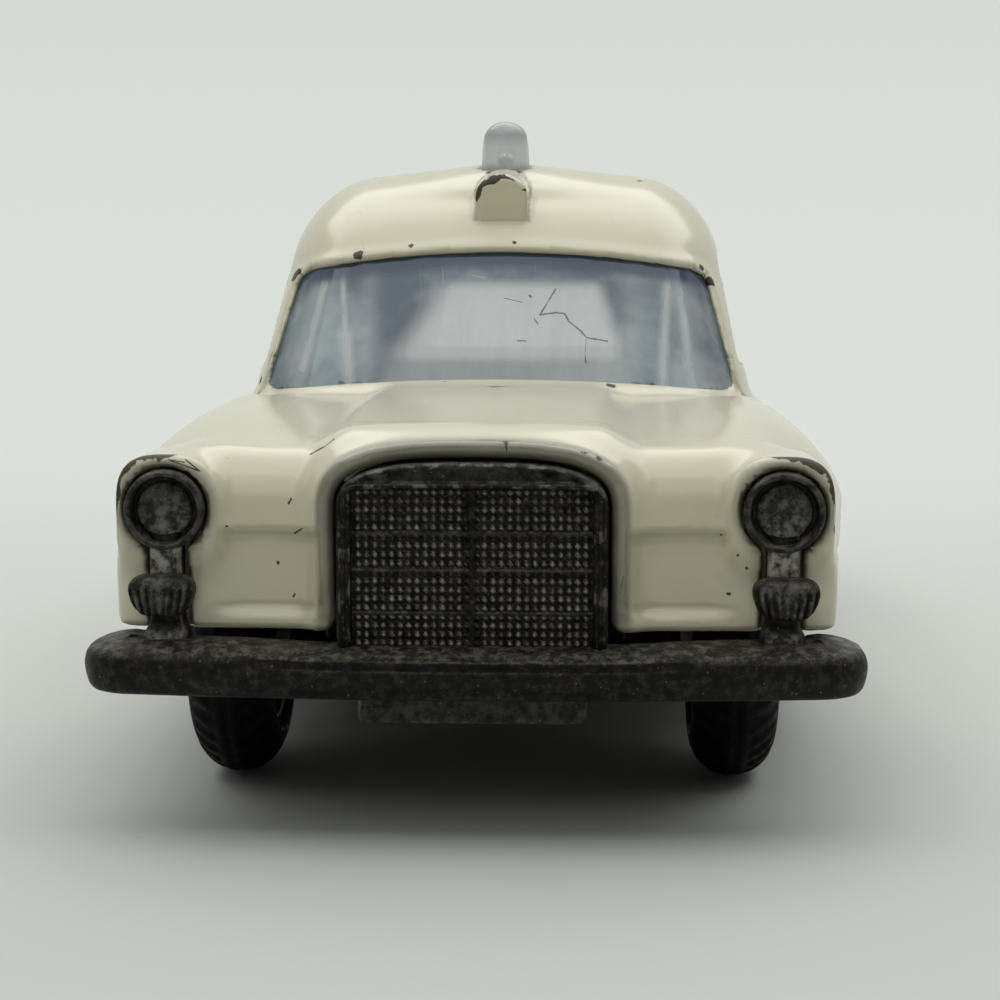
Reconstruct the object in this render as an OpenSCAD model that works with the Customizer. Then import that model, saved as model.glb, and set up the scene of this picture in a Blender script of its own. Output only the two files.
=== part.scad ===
// Toy ambulance: a die-cast saloon-based ambulance with a raised roof, a lifting tailgate and
// free-rolling wheels. The origin is on the ground under the middle of the car, +Z is up, the
// nose points towards -Y, and the car's left side is +X. All sizes are in millimetres.

/* [Overall] */
// Length over both bumpers
car_l = 73; // [71:0.5:78]
// Width across the doors, the widest line of the body
body_w = 29; // [28.4:0.2:31]
// Height of the roof crown above the ground
roof_z = 25.2; // [24.8:0.1:26.5]
// Wall thickness of the body casting below the windows
wall = 1.2; // [1:0.1:1.3]
// Wall thickness of the pillars and the roof
cabin_wall = 0.9; // [0.8:0.05:1]
// Gap between pieces that are assembled and do not move on each other
fit_gap = 0.1; // [0.05:0.01:0.15]
// Radial running clearance of the axles and the hinge pin
run_gap = 0.05; // [0.03:0.01:0.09]

/* [Lower body] */
// Width of the body across the headlamp pods
nose_w = 25.8; // [25.4:0.1:26.4]
// Width of the body at the tail
tail_w = 26; // [25:0.1:27]
// Height of the sill between the wheels
sill_z = 4.8; // [4.6:0.1:5]
// Height of the lower edge of the nose and the tail
valance_z = 7.4; // [7.35:0.05:7.6]
// Height of the bonnet at its crown
bonnet_z = 15.1; // [14.9:0.1:15.3]
// Distance of the body's nose behind the front bumper
nose_set = 2.3; // [2.1:0.1:2.6]
// Distance of the body's tail ahead of the rear bumper
tail_set = 1.8; // [1.6:0.1:2]
// Length over which the nose leans back to the bonnet crown
nose_sweep = 5; // [4:0.1:6]
// Length over which the tail leans in to its top
tail_sweep = 1.6; // [1.2:0.1:2]
// Bow of the nose in plan
nose_bow = 0.4; // [0.2:0.1:0.6]
// Radius of the nose corners in plan
nose_r = 2.2; // [1.8:0.1:2.6]
// Radius of the tail corners in plan
tail_r = 2.4; // [1.8:0.1:2.8]
// Length of the taper from the nose to the full width
nose_taper = 6; // [5:0.5:8]
// Length of the taper from the full width to the tail
tail_taper = 15; // [12:0.5:18]

/* [Cabin] */
// Width of the cabin at its foot
cabin_w = 24.1; // [23.7:0.1:24.5]
// Distance of the windscreen's foot behind the nose
screen_set = 17.1; // [16.5:0.1:17.6]
// Length over which the windscreen and the forehead lean back to the crown
screen_sweep = 15.1; // [14:0.1:16]
// Bow of the windscreen in plan
screen_bow = 2; // [1.6:0.1:2.4]
// Radius of the windscreen corners in plan
screen_r = 3.2; // [2.8:0.1:3.6]
// Distance of the cabin's tail ahead of the body's tail
cabin_tail_set = 0.4; // [0.3:0.1:0.6]
// Length over which the cabin's tail leans in to the crown
cabin_tail_sweep = 7.3; // [7:0.1:7.6]
// Radius of the cabin's tail corners in plan
cabin_tail_r = 1.8; // [1.6:0.1:2]

/* [Windows] */
// Height of the lower edge of the side windows
window_sill_z = 15.9; // [15.7:0.1:16.2]
// Height of the upper edge of the side windows
window_top_z = 21; // [20.7:0.1:21.2]
// Width of the windscreen opening at its lower edge
screen_foot_w = 21; // [20.4:0.1:21.2]
// Width of the windscreen opening at its upper corners
screen_head_w = 18.5; // [18:0.1:18.8]
// Height of the windscreen opening's lower corners
screen_foot_z = 15; // [14.9:0.05:15.1]
// Height of the windscreen opening's upper corners
screen_head_z = 20.2; // [20:0.1:20.4]
// Rise of the windscreen opening's upper edge to its middle
screen_rise = 0.85; // [0.6:0.05:1]
// Rise of the windscreen opening's lower edge to its middle
screen_foot_rise = 0.3; // [0.1:0.05:0.4]
// Distance from the windscreen's foot back to the front window's lower corner
door_set = 7.5; // [7.2:0.1:8]
// Lean of the front window's front edge
door_rake = 4.7; // [4.4:0.1:5]
// Length of the front window along its lower edge
front_window_l = 9.2; // [8.8:0.1:9.6]
// Length of the middle window
mid_window_l = 10.2; // [9.6:0.1:10.6]
// Distance of the rear window's end ahead of the cabin's tail
rear_pillar_w = 7.1; // [6.6:0.1:8]
// Width of the pillars between the side windows
pillar_w = 1.2; // [1:0.1:1.4]
// Corner radius of the window openings
window_r = 0.6; // [0.4:0.1:0.8]
// Thickness of the clear window moulding
glass_t = 0.8; // [0.6:0.1:1]

/* [Roof lamps] */
// Place of the beacon along the car, counted from the middle towards the tail
beacon_y = -4; // [-5:0.25:-3]
// Diameter of the beacon dome
beacon_d = 2.36; // [2:0.02:2.6]
// Height of the beacon's top above the roof crown
beacon_h = 2.25; // [2:0.05:2.6]
// Width of the raised ring round the beacon's hole
boss_t = 0.35; // [0.25:0.05:0.45]
// Height of that ring above the roof crown
boss_rise = 0.15; // [0.1:0.05:0.2]
// Width of the roof lamp housing over the windscreen
spot_w = 2.5; // [2.2:0.1:2.8]
// Height of the top of the roof lamp housing
spot_top_z = 24.65; // [24.3:0.05:24.7]
// Height of the foot of the roof lamp housing
spot_foot_z = 22.6; // [22.4:0.1:22.8]
// Distance of the roof lamp housing's face behind the windscreen's foot
spot_set = 7.9; // [7.6:0.1:8.2]

/* [Tailgate] */
// Width of the tailgate
gate_w = 14; // [13:0.1:14.2]
// Height of the tailgate's lower edge
gate_foot_z = 8.95; // [8.8:0.05:9.2]
// Height of the tailgate's hinge axis
hinge_z = 22.2; // [22:0.1:22.3]
// Distance of the hinge axis ahead of the cabin's tail at its foot
hinge_set = 3.22; // [3.15:0.01:3.35]
// Radius of the rolled top edge of the tailgate
barrel_r = 1.05; // [0.95:0.05:1.05]
// Diameter of the hinge pin
pin_d = 0.8; // [0.6:0.05:0.9]
// Thickness of the lugs that hold the hinge pin
lug_t = 1.3; // [1.2:0.05:1.4]
// Gap round the tailgate
gate_gap = 0.15; // [0.1:0.01:0.2]
// Gap between the tailgate's rolled edge and the roof, which the skin below it swings through
swing_gap = 0.3; // [0.25:0.01:0.35]
// Width of the tailgate window at its lower edge
gate_window_w = 12.4; // [11.8:0.1:12.6]
// Width of the tailgate window at its upper edge
gate_window_head_w = 9.6; // [9.2:0.1:10.2]
// Height of the lower edge of the tailgate window
gate_window_foot_z = 14.3; // [14:0.1:14.8]
// Height of the upper edge of the tailgate window
gate_window_head_z = 19.4; // [19:0.1:19.8]

/* [Grille] */
// Width of the grille opening
grille_w = 9.86; // [9.4:0.02:10.2]
// Height of the top of the grille opening
grille_top_z = 13.8; // [13.6:0.05:13.9]
// Height where the grille's sides turn into its arch
grille_shoulder_z = 11.9; // [11.6:0.1:12.2]
// Width of the body's rim round the grille
grille_rim = 0.55; // [0.4:0.05:0.65]
// Distance that the grille rim stands ahead of the nose
grille_proud = 0.75; // [0.6:0.05:0.9]
// Width of the cast frame round the mesh
grille_frame = 0.55; // [0.45:0.05:0.65]
// Depth of the mesh field behind the frame
grille_depth = 0.35; // [0.25:0.05:0.45]
// Number of cross bars on the mesh field
grille_bars = 3; // [2:1:4]
// Width of the bars on the mesh field
grille_bar = 0.3; // [0.2:0.05:0.4]

/* [Front lamps] */
// Distance of the headlamps from the middle of the car
lamp_x = 11.05; // [10.9:0.05:11.1]
// Height of the headlamps
lamp_z = 11.9; // [11.7:0.05:12]
// Diameter of the headlamp bezel
lamp_d = 3.1; // [2.9:0.05:3.2]
// Width of the headlamp bezel's ring
lamp_ring = 0.42; // [0.3:0.02:0.5]
// Depth of the lamp behind the bezel's rim
lamp_depth = 0.45; // [0.3:0.05:0.55]
// Wall of the body pod round the headlamp
pod_wall = 0.22; // [0.16:0.02:0.3]
// Distance that the pods stand ahead of the nose
pod_proud = 0.25; // [0.15:0.05:0.35]
// Distance that the lamps stand ahead of the nose
lamp_proud = 0.6; // [0.45:0.05:0.7]
// Height of the indicators
indicator_z = 8.86; // [8.7:0.02:9]
// Width of the indicators
indicator_w = 2.4; // [2.2:0.05:2.6]
// Height of the indicator lenses
indicator_h = 1.5; // [1.3:0.05:1.6]
// Distance that the indicators stand ahead of the nose
indicator_proud = 1.05; // [0.9:0.05:1.2]
// Width of the stems that carry the lamps
stem_w = 1.45; // [1.2:0.05:1.6]
// Depth of the pockets in the nose that take the lamps
pocket_depth = 0.8; // [0.7:0.05:0.9]
// Depth of the recessed panels beside the grille
panel_depth = 0.5; // [0.3:0.05:0.6]

/* [Base casting] */
// Height of the underside of the floor
floor_z = 4.75; // [4.65:0.05:4.85]
// Thickness of the floor
floor_t = 0.9; // [0.8:0.05:1]
// Distance of the front bumper's ends inside the body's widest line
bumper_inset = 0.35; // [0.2:0.05:0.6]
// Height of the bumpers' lower edge
bumper_foot_z = 5.3; // [5.25:0.05:5.4]
// Height of the bumpers' upper edge
bumper_top_z = 7.25; // [7.1:0.05:7.25]
// Length of the bumpers' ends along the car
bumper_l = 4.6; // [4.2:0.1:5]
// Bow of the bumpers in plan
bumper_bow = 0.7; // [0.5:0.1:0.9]
// Radius of the bumpers' ends in plan
bumper_r = 2; // [1.7:0.1:2.2]
// Distance of the rear bumper's ends inside the body's widest line
rear_bumper_inset = 1; // [0.6:0.1:1.4]
// Depth of the groove along the front bumper
groove_depth = 0.2; // [0.1:0.02:0.25]
// Height of the groove along the front bumper
groove_h = 0.28; // [0.2:0.02:0.32]
// Width of the plate bracket under the front bumper
bracket_w = 8.2; // [7.6:0.1:8.8]
// Drop of the plate bracket under the front bumper
bracket_drop = 1; // [0.8:0.05:1.1]
// Thickness of the plate bracket
bracket_t = 0.7; // [0.5:0.05:0.9]
// Diameter of the rivet shanks
rivet_d = 1.8; // [1.6:0.05:2]
// Diameter of the rivet heads
rivet_head_d = 3.4; // [3:0.1:3.6]
// Thickness of the rivet heads
rivet_head_t = 0.5; // [0.4:0.05:0.6]
// Diameter of the body's rivet posts
post_d = 3.4; // [3.2:0.1:3.6]

/* [Running gear] */
// Diameter of the tyres
wheel_d = 10.4; // [10:0.1:10.6]
// Width of the tyres
tyre_w = 3.4; // [3:0.1:3.5]
// Diameter of the hubs, where the tyres seat
hub_d = 6.6; // [6.2:0.1:7]
// Width of the hubs
hub_w = 2.8; // [2.4:0.1:3]
// Diameter of the hub's boss round the axle
boss_d = 2.8; // [2.6:0.1:3]
// Thickness of the hub's web
web_t = 0.9; // [0.8:0.1:1.1]
// Distance of the tyres' outer faces inside the body's widest line
wheel_inset = 2.9; // [2.7:0.05:3.1]
// Distance of the front axle behind the front bumper
front_overhang = 12.1; // [11.9:0.1:12.4]
// Distance of the rear axle ahead of the rear bumper
rear_overhang = 19.9; // [19.4:0.1:20.4]
// Diameter of the axles
axle_d = 1.3; // [1.2:0.05:1.4]
// Diameter of the axle heads
axle_head_d = 2; // [1.8:0.1:2.2]
// Thickness of the axle heads
axle_head_t = 0.45; // [0.35:0.05:0.5]
// Side play of a wheel on its axle
wheel_play = 0.15; // [0.1:0.01:0.2]
// Gap between the tyre and the wheel arch
arch_gap = 0.8; // [0.6:0.05:0.9]

/* [Cabin fittings] */
// Thickness of the interior tray
tray_t = 0.8; // [0.7:0.05:0.9]
// Distance of the tray's sides inside the space between the wheels
tray_inset = 0.6; // [0.4:0.05:0.9]
// Height of the dashboard's top
dash_z = 14.3; // [14:0.1:14.5]
// Thickness of the dashboard along the car
dash_t = 2; // [1.6:0.1:2.4]
// Height of the seat cushion above the tray
seat_h = 2.4; // [2:0.1:2.8]
// Length of the seat cushion
seat_l = 5.4; // [5:0.1:5.8]
// Height of the seat's back above the tray
seat_back_h = 7.8; // [7.2:0.1:8.2]
// Thickness of the seat's back
seat_back_t = 1.8; // [1.5:0.1:2]
// Diameter of the steering wheel
steering_d = 4.4; // [4:0.1:4.8]
// Thickness of the steering wheel's rim
steering_t = 0.6; // [0.5:0.05:0.7]
// Distance of the stretcher's end ahead of the tray's rear edge
stretcher_gap = 5.2; // [4:0.1:8]
// Width of the stretcher
stretcher_w = 7; // [6.5:0.1:7.5]
// Height of the stretcher's frame above the tray
stretcher_h = 1.2; // [1:0.1:1.4]
// Thickness of the stretcher's frame
stretcher_t = 0.8; // [0.7:0.05:0.9]
// Thickness of the stretcher's mattress
mattress_t = 1.1; // [0.9:0.1:1.3]
// Thickness of the stretcher's pillow
pillow_t = 0.7; // [0.5:0.1:0.8]

/* [Hidden] */
$fn = 48;
// Overrun of every cut past the face that it opens
cut_over = 1;
// Thickness of the plates that span a hulled form
plate_t = 0.02;
// Lap of a joined shape into the piece that carries it
lap = 0.3;
// Steps on each corner arc of a level outline, and on its bowed front
arc_steps = 6;
bow_steps = 4;
hull_fn = 32;

// Places along the car
nose_y = -car_l / 2 + nose_set;
tail_y = car_l / 2 - tail_set;
screen_y = nose_y + screen_set;
cabin_tail_y = tail_y - cabin_tail_set;
front_axle_y = -car_l / 2 + front_overhang;
rear_axle_y = car_l / 2 - rear_overhang;
hinge_y = cabin_tail_y - hinge_set;
axle_z = wheel_d / 2;
// Distance between the middles of the tyres of one axle
track = body_w - 2 * wheel_inset - tyre_w;
// Widths of the bumpers
bumper_w = body_w - 2 * bumper_inset;
rear_bumper_w = body_w - 2 * rear_bumper_inset;

// The lower body's levels: shares of its height, width, nose sweep and tail sweep
lower_shares = [
    [0.00, 0.970, 0.25, 0.30],
    [0.30, 0.995, 0.04, 0.05],
    [0.52, 1.000, 0.00, 0.00],
    [0.78, 0.960, 0.02, 0.10],
    [0.91, 0.865, 0.22, 0.35],
    [1.00, 0.650, 1.00, 1.00],
];

// The cabin's levels: shares of its height, width, windscreen sweep and tail sweep
cabin_shares = [
    [0.000, 1.000, 0.000, 0.000],
    [0.652, 0.868, 0.437, 0.233],
    [0.830, 0.796, 0.583, 0.356],
    [0.915, 0.706, 0.682, 0.466],
    [0.975, 0.510, 0.815, 0.644],
    [1.000, 0.255, 1.000, 1.000],
];
// Shares of the cabin's width at the windscreen pillars and at the tail
cabin_nose_share = 0.985;
cabin_tail_share = 0.95;
// Distance that the cabin's foot lies below the bonnet's inner face
cabin_drop = 0.5;
cabin_z = bonnet_z - wall - cabin_drop;

// Points of an arc round a centre, from one angle to another
function arc(c, r, a0, a1, steps = arc_steps) =
    [for (i = [0:steps]) let (a = a0 + (a1 - a0) * i / steps) c + r * [cos(a), sin(a)]];

// A right half outline joined to its mirror image
function both_halves(p) = concat(p, [for (i = [len(p) - 1:-1:0]) [-p[i][0], p[i][1]]]);

// Plan outline of one level, from its nose round to its tail
function plan(front, rear, nose_hw, waist_hw, tail_hw, front_r, rear_r, bow, waist_front, waist_rear) =
    both_halves(concat(
        [for (i = [0:bow_steps - 1]) let (t = i / bow_steps) [t * (nose_hw - front_r), front + bow * t * t]],
        arc([nose_hw - front_r, front + bow + front_r], front_r, -90, 0),
        [[waist_hw, waist_front], [waist_hw, waist_rear]],
        arc([tail_hw - rear_r, rear - rear_r], rear_r, 0, 90)
    ));

// Arch outline: upright sides that turn into a squarish arch, as a superellipse of power three
function arch_curve(hw, shoulder, top, steps = 2 * arc_steps) =
    [for (i = [0:steps]) let (a = 90 * i / steps)
        [hw * pow(cos(a), 2 / 3), shoulder + (top - shoulder) * pow(sin(a), 2 / 3)]];
function arch(hw, foot, shoulder, top) =
    both_halves(concat([[hw, foot]], arch_curve(hw, shoulder, top)));

module level(z, outline) {
    translate([0, 0, z]) linear_extrude(plate_t) polygon(outline);
}

// An outline in X and Z carried along the car
module along_car(y0, y1) {
    translate([0, y1, 0]) rotate([90, 0, 0]) linear_extrude(y1 - y0) children();
}

// An outline in Y and Z carried across the car
module across_car(x0, x1) {
    translate([x0, 0, 0]) rotate([90, 0, 90]) linear_extrude(x1 - x0) children();
}

// A rod along X
module cross_rod(x0, x1, r) {
    translate([x0, 0, 0]) rotate([0, 90, 0]) cylinder(h = x1 - x0, r = r);
}

// A rod along Y
module long_rod(y0, y1, r) {
    translate([0, y0, 0]) rotate([-90, 0, 0]) cylinder(h = y1 - y0, r = r);
}

// A box between two corners
module box(low, high) {
    translate(low) cube(high - low);
}

// A shape and its mirror image on the other side of the car
module both_sides() {
    children();
    mirror([1, 0, 0]) children();
}

module rounded(r) {
    offset(r = r, $fn = hull_fn) offset(delta = -r) children();
}

// Bonnet, wings, doors and tail below the windows, drawn in by an inset
module lower_form(inset) {
    hull() for (s = lower_shares)
        level(sill_z + s[0] * (bonnet_z - inset - sill_z), plan(
            nose_y + inset + s[2] * nose_sweep, tail_y - inset - s[3] * tail_sweep,
            s[1] * nose_w / 2 - inset, s[1] * body_w / 2 - inset, s[1] * tail_w / 2 - inset,
            nose_r - inset, tail_r - inset, nose_bow,
            nose_y + nose_taper, tail_y - tail_taper));
}

// Corner radius of a cabin level of a given half width, kept concentric with the outer skin
function corner(r, hw, inset) = max(min(r, hw / 2) - inset, inset / 4);

// Windscreen, forehead, roof and tail above the waist, drawn in by an inset
module cabin_form(inset) {
    hull() for (s = cabin_shares) {
        hw = s[1] * cabin_w / 2 - inset;
        front = screen_y + inset + s[2] * screen_sweep;
        rear = cabin_tail_y - inset - s[3] * cabin_tail_sweep;
        level(cabin_z + s[0] * (roof_z - inset - cabin_z), plan(
            front, rear, cabin_nose_share * hw, hw, cabin_tail_share * hw,
            corner(screen_r, hw, inset), corner(cabin_tail_r, hw, inset), s[1] * screen_bow,
            (front + rear) / 2, (front + rear) / 2));
    }
}

// Raised middle of the bonnet, from the grille's arch back to the windscreen
bulge_end_share = 0.72;
module bonnet_bulge() {
    rim_hw = grille_w / 2 + grille_rim;
    hull() {
        along_car(nose_y - grille_proud, nose_y)
            polygon(arch(rim_hw, grille_shoulder_z, grille_shoulder_z, grille_top_z + grille_rim));
        along_car(screen_y - plate_t, screen_y)
            polygon(arch(rim_hw * bulge_end_share, grille_shoulder_z, grille_shoulder_z, bonnet_z + lap));
    }
}

// Rim of the body round the grille
module grille_shell() {
    along_car(nose_y - grille_proud, nose_y + wall)
        polygon(arch(grille_w / 2 + grille_rim, valance_z, grille_shoulder_z, grille_top_z + grille_rim));
}

module grille_opening() {
    along_car(nose_y - grille_proud - cut_over, nose_y + wall + nose_sweep)
        polygon(arch(grille_w / 2, valance_z - cut_over, grille_shoulder_z, grille_top_z));
}

pod_r = lamp_d / 2 + fit_gap + pod_wall;
module lamp_pods() {
    front = nose_y - pod_proud;
    back = nose_y + nose_sweep;
    both_sides() {
        translate([lamp_x, 0, lamp_z]) long_rod(front, back, pod_r);
        box([lamp_x - pod_r, front, valance_z], [lamp_x + pod_r, back, lamp_z]);
    }
}

// Room in the nose for the headlamps and their stems
module lamp_pockets() {
    front = nose_y - pod_proud - cut_over;
    back = nose_y + pocket_depth;
    both_sides() {
        translate([lamp_x, 0, lamp_z]) long_rod(front, back, lamp_d / 2 + fit_gap);
        box([lamp_x - stem_w / 2 - fit_gap, front, valance_z - cut_over],
            [lamp_x + stem_w / 2 + fit_gap, back, lamp_z]);
    }
}

// Shares of the panel's height where the recess beside the grille starts and ends
panel_foot_share = 0.2;
panel_head_share = 0.62;
module nose_panels() {
    height = grille_top_z - valance_z;
    both_sides() box(
        [grille_w / 2 + grille_rim, nose_y - cut_over, valance_z + panel_foot_share * height],
        [lamp_x - pod_r, nose_y + nose_bow + panel_depth, valance_z + panel_head_share * height]);
}

// Lamp housing on the forehead
module spot_housing() {
    along_car(screen_y + spot_set, screen_y + screen_sweep)
        polygon(both_halves(concat([[spot_w / 2, spot_foot_z]],
            arc([0, spot_top_z - spot_w / 2], spot_w / 2, 0, 90))));
}

arch_r = wheel_d / 2 + arch_gap;
// Half width of the car between the wheels
inner_hw = track / 2 - tyre_w / 2 - arch_gap / 2;
module wheel_arches() {
    both_sides() for (y = [front_axle_y, rear_axle_y])
        translate([0, y, axle_z]) cross_rod(inner_hw, body_w, arch_r);
}

// Everything under the valances ahead of the front axle and behind the rear one
module under_cuts() {
    box([-body_w, -car_l, sill_z - cut_over], [body_w, front_axle_y, valance_z]);
    box([-body_w, rear_axle_y, sill_z - cut_over], [body_w, car_l, valance_z]);
}

module screen_opening() {
    along_car(screen_y - cut_over, door_y + door_rake) rounded(window_r) polygon(both_halves([
        [0, screen_foot_z + screen_foot_rise],
        [screen_foot_w / 2, screen_foot_z],
        [screen_head_w / 2, screen_head_z],
        [screen_head_w / 4, screen_head_z + screen_rise * 3 / 4],
        [0, screen_head_z + screen_rise]]));
}

// Places of the side windows along their lower edge
door_y = screen_y + door_set;
mid_y = door_y + front_window_l + pillar_w;
quarter_y = mid_y + mid_window_l + pillar_w;
rear_window_l = cabin_tail_y - rear_pillar_w - quarter_y;
module side_windows() {
    across_car(-body_w, body_w) rounded(window_r) {
        polygon([[door_y, window_sill_z], [door_y + front_window_l, window_sill_z],
            [door_y + front_window_l, window_top_z], [door_y + door_rake, window_top_z]]);
        for (w = [[mid_y, mid_window_l], [quarter_y, rear_window_l]])
            translate([w[0], window_sill_z]) square([w[1], window_top_z - window_sill_z]);
    }
}

// Depth of the tailgate's opening ahead of the hinge axis
gate_reach = 3;
gate_rest_hw = gate_w / 2 + gate_gap;
module gate_opening() {
    box([-gate_rest_hw, hinge_y - gate_reach, gate_foot_z - gate_gap],
        [gate_rest_hw, tail_y + cut_over, hinge_z]);
    translate([0, hinge_y, hinge_z]) cross_rod(-gate_rest_hw, gate_rest_hw, barrel_r + swing_gap);
}

// Shares of the barrel that the lug reaches ahead of, behind, below and above the hinge axis
lug_ahead_share = 0.85;
lug_behind_share = 0.2;
lug_height_share = 0.7;
module hinge_lugs() {
    both_sides() box(
        [gate_rest_hw, hinge_y - lug_ahead_share * barrel_r, hinge_z - lug_height_share * barrel_r],
        [gate_rest_hw + lug_t, hinge_y + lug_behind_share * barrel_r, hinge_z + lug_height_share * barrel_r]);
}

// Rivet posts: the front one hangs from the bonnet, the rear one from the tail panel
front_post_y = nose_y + wall + post_d;
rear_post_y = tail_y - wall - post_d;
post_foot_z = floor_z + floor_t;
rear_post_z = gate_foot_z - gate_gap - lap;
module rivet_posts() {
    translate([0, front_post_y, post_foot_z]) cylinder(h = bonnet_z - wall / 2 - post_foot_z, d = post_d);
    translate([0, rear_post_y, post_foot_z]) cylinder(h = rear_post_z - post_foot_z, d = post_d);
    box([-post_d / 2, rear_post_y, valance_z], [post_d / 2, tail_y - wall / 2, rear_post_z]);
}

// Depth of the rivets in their posts
rivet_bite = 2;
module rivet_bores() {
    for (y = [front_post_y, rear_post_y])
        translate([0, y, post_foot_z - cut_over]) cylinder(h = cut_over + rivet_bite + fit_gap, d = rivet_d);
}

// Raised ring that the beacon comes up through
beacon_hole_d = beacon_d + 2 * fit_gap;
module beacon_boss() {
    translate([0, beacon_y, roof_z - wall])
        cylinder(h = wall + boss_rise, d = beacon_hole_d + 2 * boss_t);
}

module body_shell() {
    color("ivory") difference() {
        union() {
            difference() {
                union() {
                    lower_form(0);
                    cabin_form(0);
                    bonnet_bulge();
                    grille_shell();
                    lamp_pods();
                    spot_housing();
                    beacon_boss();
                }
                lower_form(wall);
                cabin_form(cabin_wall);
            }
            hinge_lugs();
            rivet_posts();
        }
        wheel_arches();
        under_cuts();
        screen_opening();
        side_windows();
        gate_opening();
        grille_opening();
        lamp_pockets();
        nose_panels();
        rivet_bores();
        translate([0, beacon_y, roof_z - wall - cut_over])
            cylinder(h = wall + boss_rise + 2 * cut_over, d = beacon_hole_d);
        translate([0, hinge_y, hinge_z]) cross_rod(-gate_rest_hw - lug_t, gate_rest_hw + lug_t, pin_d / 2);
    }
}

// The tailgate: the part of the shell inside the opening, with a rolled top edge round its pin
module tailgate() {
    color("ivory") difference() {
        union() {
            intersection() {
                difference() {
                    union() {
                        lower_form(0);
                        cabin_form(0);
                    }
                    lower_form(wall);
                    cabin_form(cabin_wall);
                }
                box([-gate_w / 2, hinge_y - wall / 2, gate_foot_z], [gate_w / 2, tail_y + cut_over, hinge_z]);
            }
            translate([0, hinge_y, hinge_z]) cross_rod(-gate_w / 2, gate_w / 2, barrel_r);
        }
        translate([0, hinge_y, hinge_z]) cross_rod(-gate_w, gate_w, pin_d / 2 + run_gap);
        along_car(hinge_y - gate_reach, tail_y + cut_over) rounded(window_r) gate_window_outline(0);
    }
}

module gate_window_outline(grow) {
    polygon(both_halves([
        [gate_window_w / 2 + grow, gate_window_foot_z - grow],
        [gate_window_head_w / 2 + grow, gate_window_head_z + grow]]));
}

// Margin of the tailgate's pane behind the edge of its opening
pane_margin = 0.4;
module tailgate_window() {
    color("lightsteelblue") intersection() {
        difference() {
            cabin_form(cabin_wall + fit_gap);
            cabin_form(cabin_wall + fit_gap + glass_t);
        }
        along_car(hinge_y - gate_reach, tail_y) gate_window_outline(pane_margin);
    }
}

module tailgate_hinge_pin() {
    color("silver") translate([0, hinge_y, hinge_z])
        cross_rod(-gate_rest_hw - lug_t, gate_rest_hw + lug_t, pin_d / 2);
}

// One clear moulding: windscreen, side windows and roof web, with the beacon standing on it
glass_foot_z = bonnet_z - wall / 2;
glass_tail_y = hinge_y - barrel_r - swing_gap - lap;
module window_moulding() {
    web_z = roof_z - cabin_wall - fit_gap - glass_t;
    color("lightsteelblue") {
        intersection() {
            difference() {
                cabin_form(cabin_wall + fit_gap);
                cabin_form(cabin_wall + fit_gap + glass_t);
            }
            box([-body_w, nose_y, glass_foot_z], [body_w, glass_tail_y, roof_z]);
        }
        translate([0, beacon_y, web_z]) {
            cylinder(h = roof_z + beacon_h - beacon_d / 2 - web_z, d = beacon_d);
            translate([0, 0, roof_z + beacon_h - beacon_d / 2 - web_z]) sphere(d = beacon_d);
        }
    }
}

// The bumpers' levels: shares of their height, and of their bow that the edge is drawn in by
bumper_shares = [[0.00, 0.70], [0.25, 0.12], [0.45, 0.00], [0.70, 0.06], [1.00, 1.50]];

// Plan outline of a bumper whose face is at y = 0 and whose ends reach back along +Y
function bumper_plan(width, inset) = both_halves(concat(
    [[0, inset], [width / 4, inset + bumper_bow / 4]],
    arc([width / 2 - bumper_r, bumper_bow + bumper_r], bumper_r - inset, -90, 0),
    [[width / 2 - inset, bumper_l]]));

module bumper(width) {
    height = bumper_top_z - bumper_foot_z;
    hull() for (s = bumper_shares)
        level(bumper_foot_z + s[0] * (height - plate_t), bumper_plan(width, s[1] * bumper_bow));
}

// Share of the bumper's height where its groove runs
groove_share = 0.38;
module front_bumper() {
    difference() {
        translate([0, -car_l / 2, 0]) bumper(bumper_w);
        translate([0, -car_l / 2, bumper_foot_z + groove_share * (bumper_top_z - bumper_foot_z)])
            linear_extrude(groove_h) difference() {
                polygon(bumper_plan(bumper_w + 2 * cut_over, -cut_over));
                polygon(bumper_plan(bumper_w, groove_depth));
            }
    }
}

module rear_bumper() {
    translate([0, car_l / 2, 0]) mirror([0, 1, 0]) bumper(rear_bumper_w);
}

// Gap between the base and the walls of the body
base_gap = 0.25;
module floor_plate() {
    sill_hw = lower_shares[0][1] * nose_w / 2 - wall - base_gap;
    wing_front_y = front_axle_y + arch_r + base_gap;
    wing_rear_y = rear_axle_y - arch_r - base_gap;
    front_y = -car_l / 2 + bumper_l;
    rear_y = car_l / 2 - bumper_l;
    box([-inner_hw, front_y, floor_z], [inner_hw, rear_y, floor_z + floor_t]);
    box([-sill_hw, wing_front_y, floor_z], [sill_hw, wing_rear_y, floor_z + floor_t]);
    // Necks that join the floor to the bumpers
    for (neck = [[front_y - lap - bumper_l / 2, front_y + lap], [rear_y - lap, rear_y + lap + bumper_l / 2]])
        box([-inner_hw, neck[0], floor_z + floor_t / 2], [inner_hw, neck[1], bumper_foot_z + floor_t]);
}

// Saddle blocks that carry the axles in slots open at the top
saddle_wall = 0.9;
saddle_r = axle_d / 2 + run_gap + saddle_wall;
saddle_top_z = axle_z + axle_d / 2 + 1.5 * saddle_wall;
module saddles() {
    for (y = [front_axle_y, rear_axle_y]) translate([0, y, axle_z]) {
        cross_rod(-inner_hw, inner_hw, saddle_r);
        box([-inner_hw, -saddle_r, 0], [inner_hw, saddle_r, saddle_top_z - axle_z]);
    }
}

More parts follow.
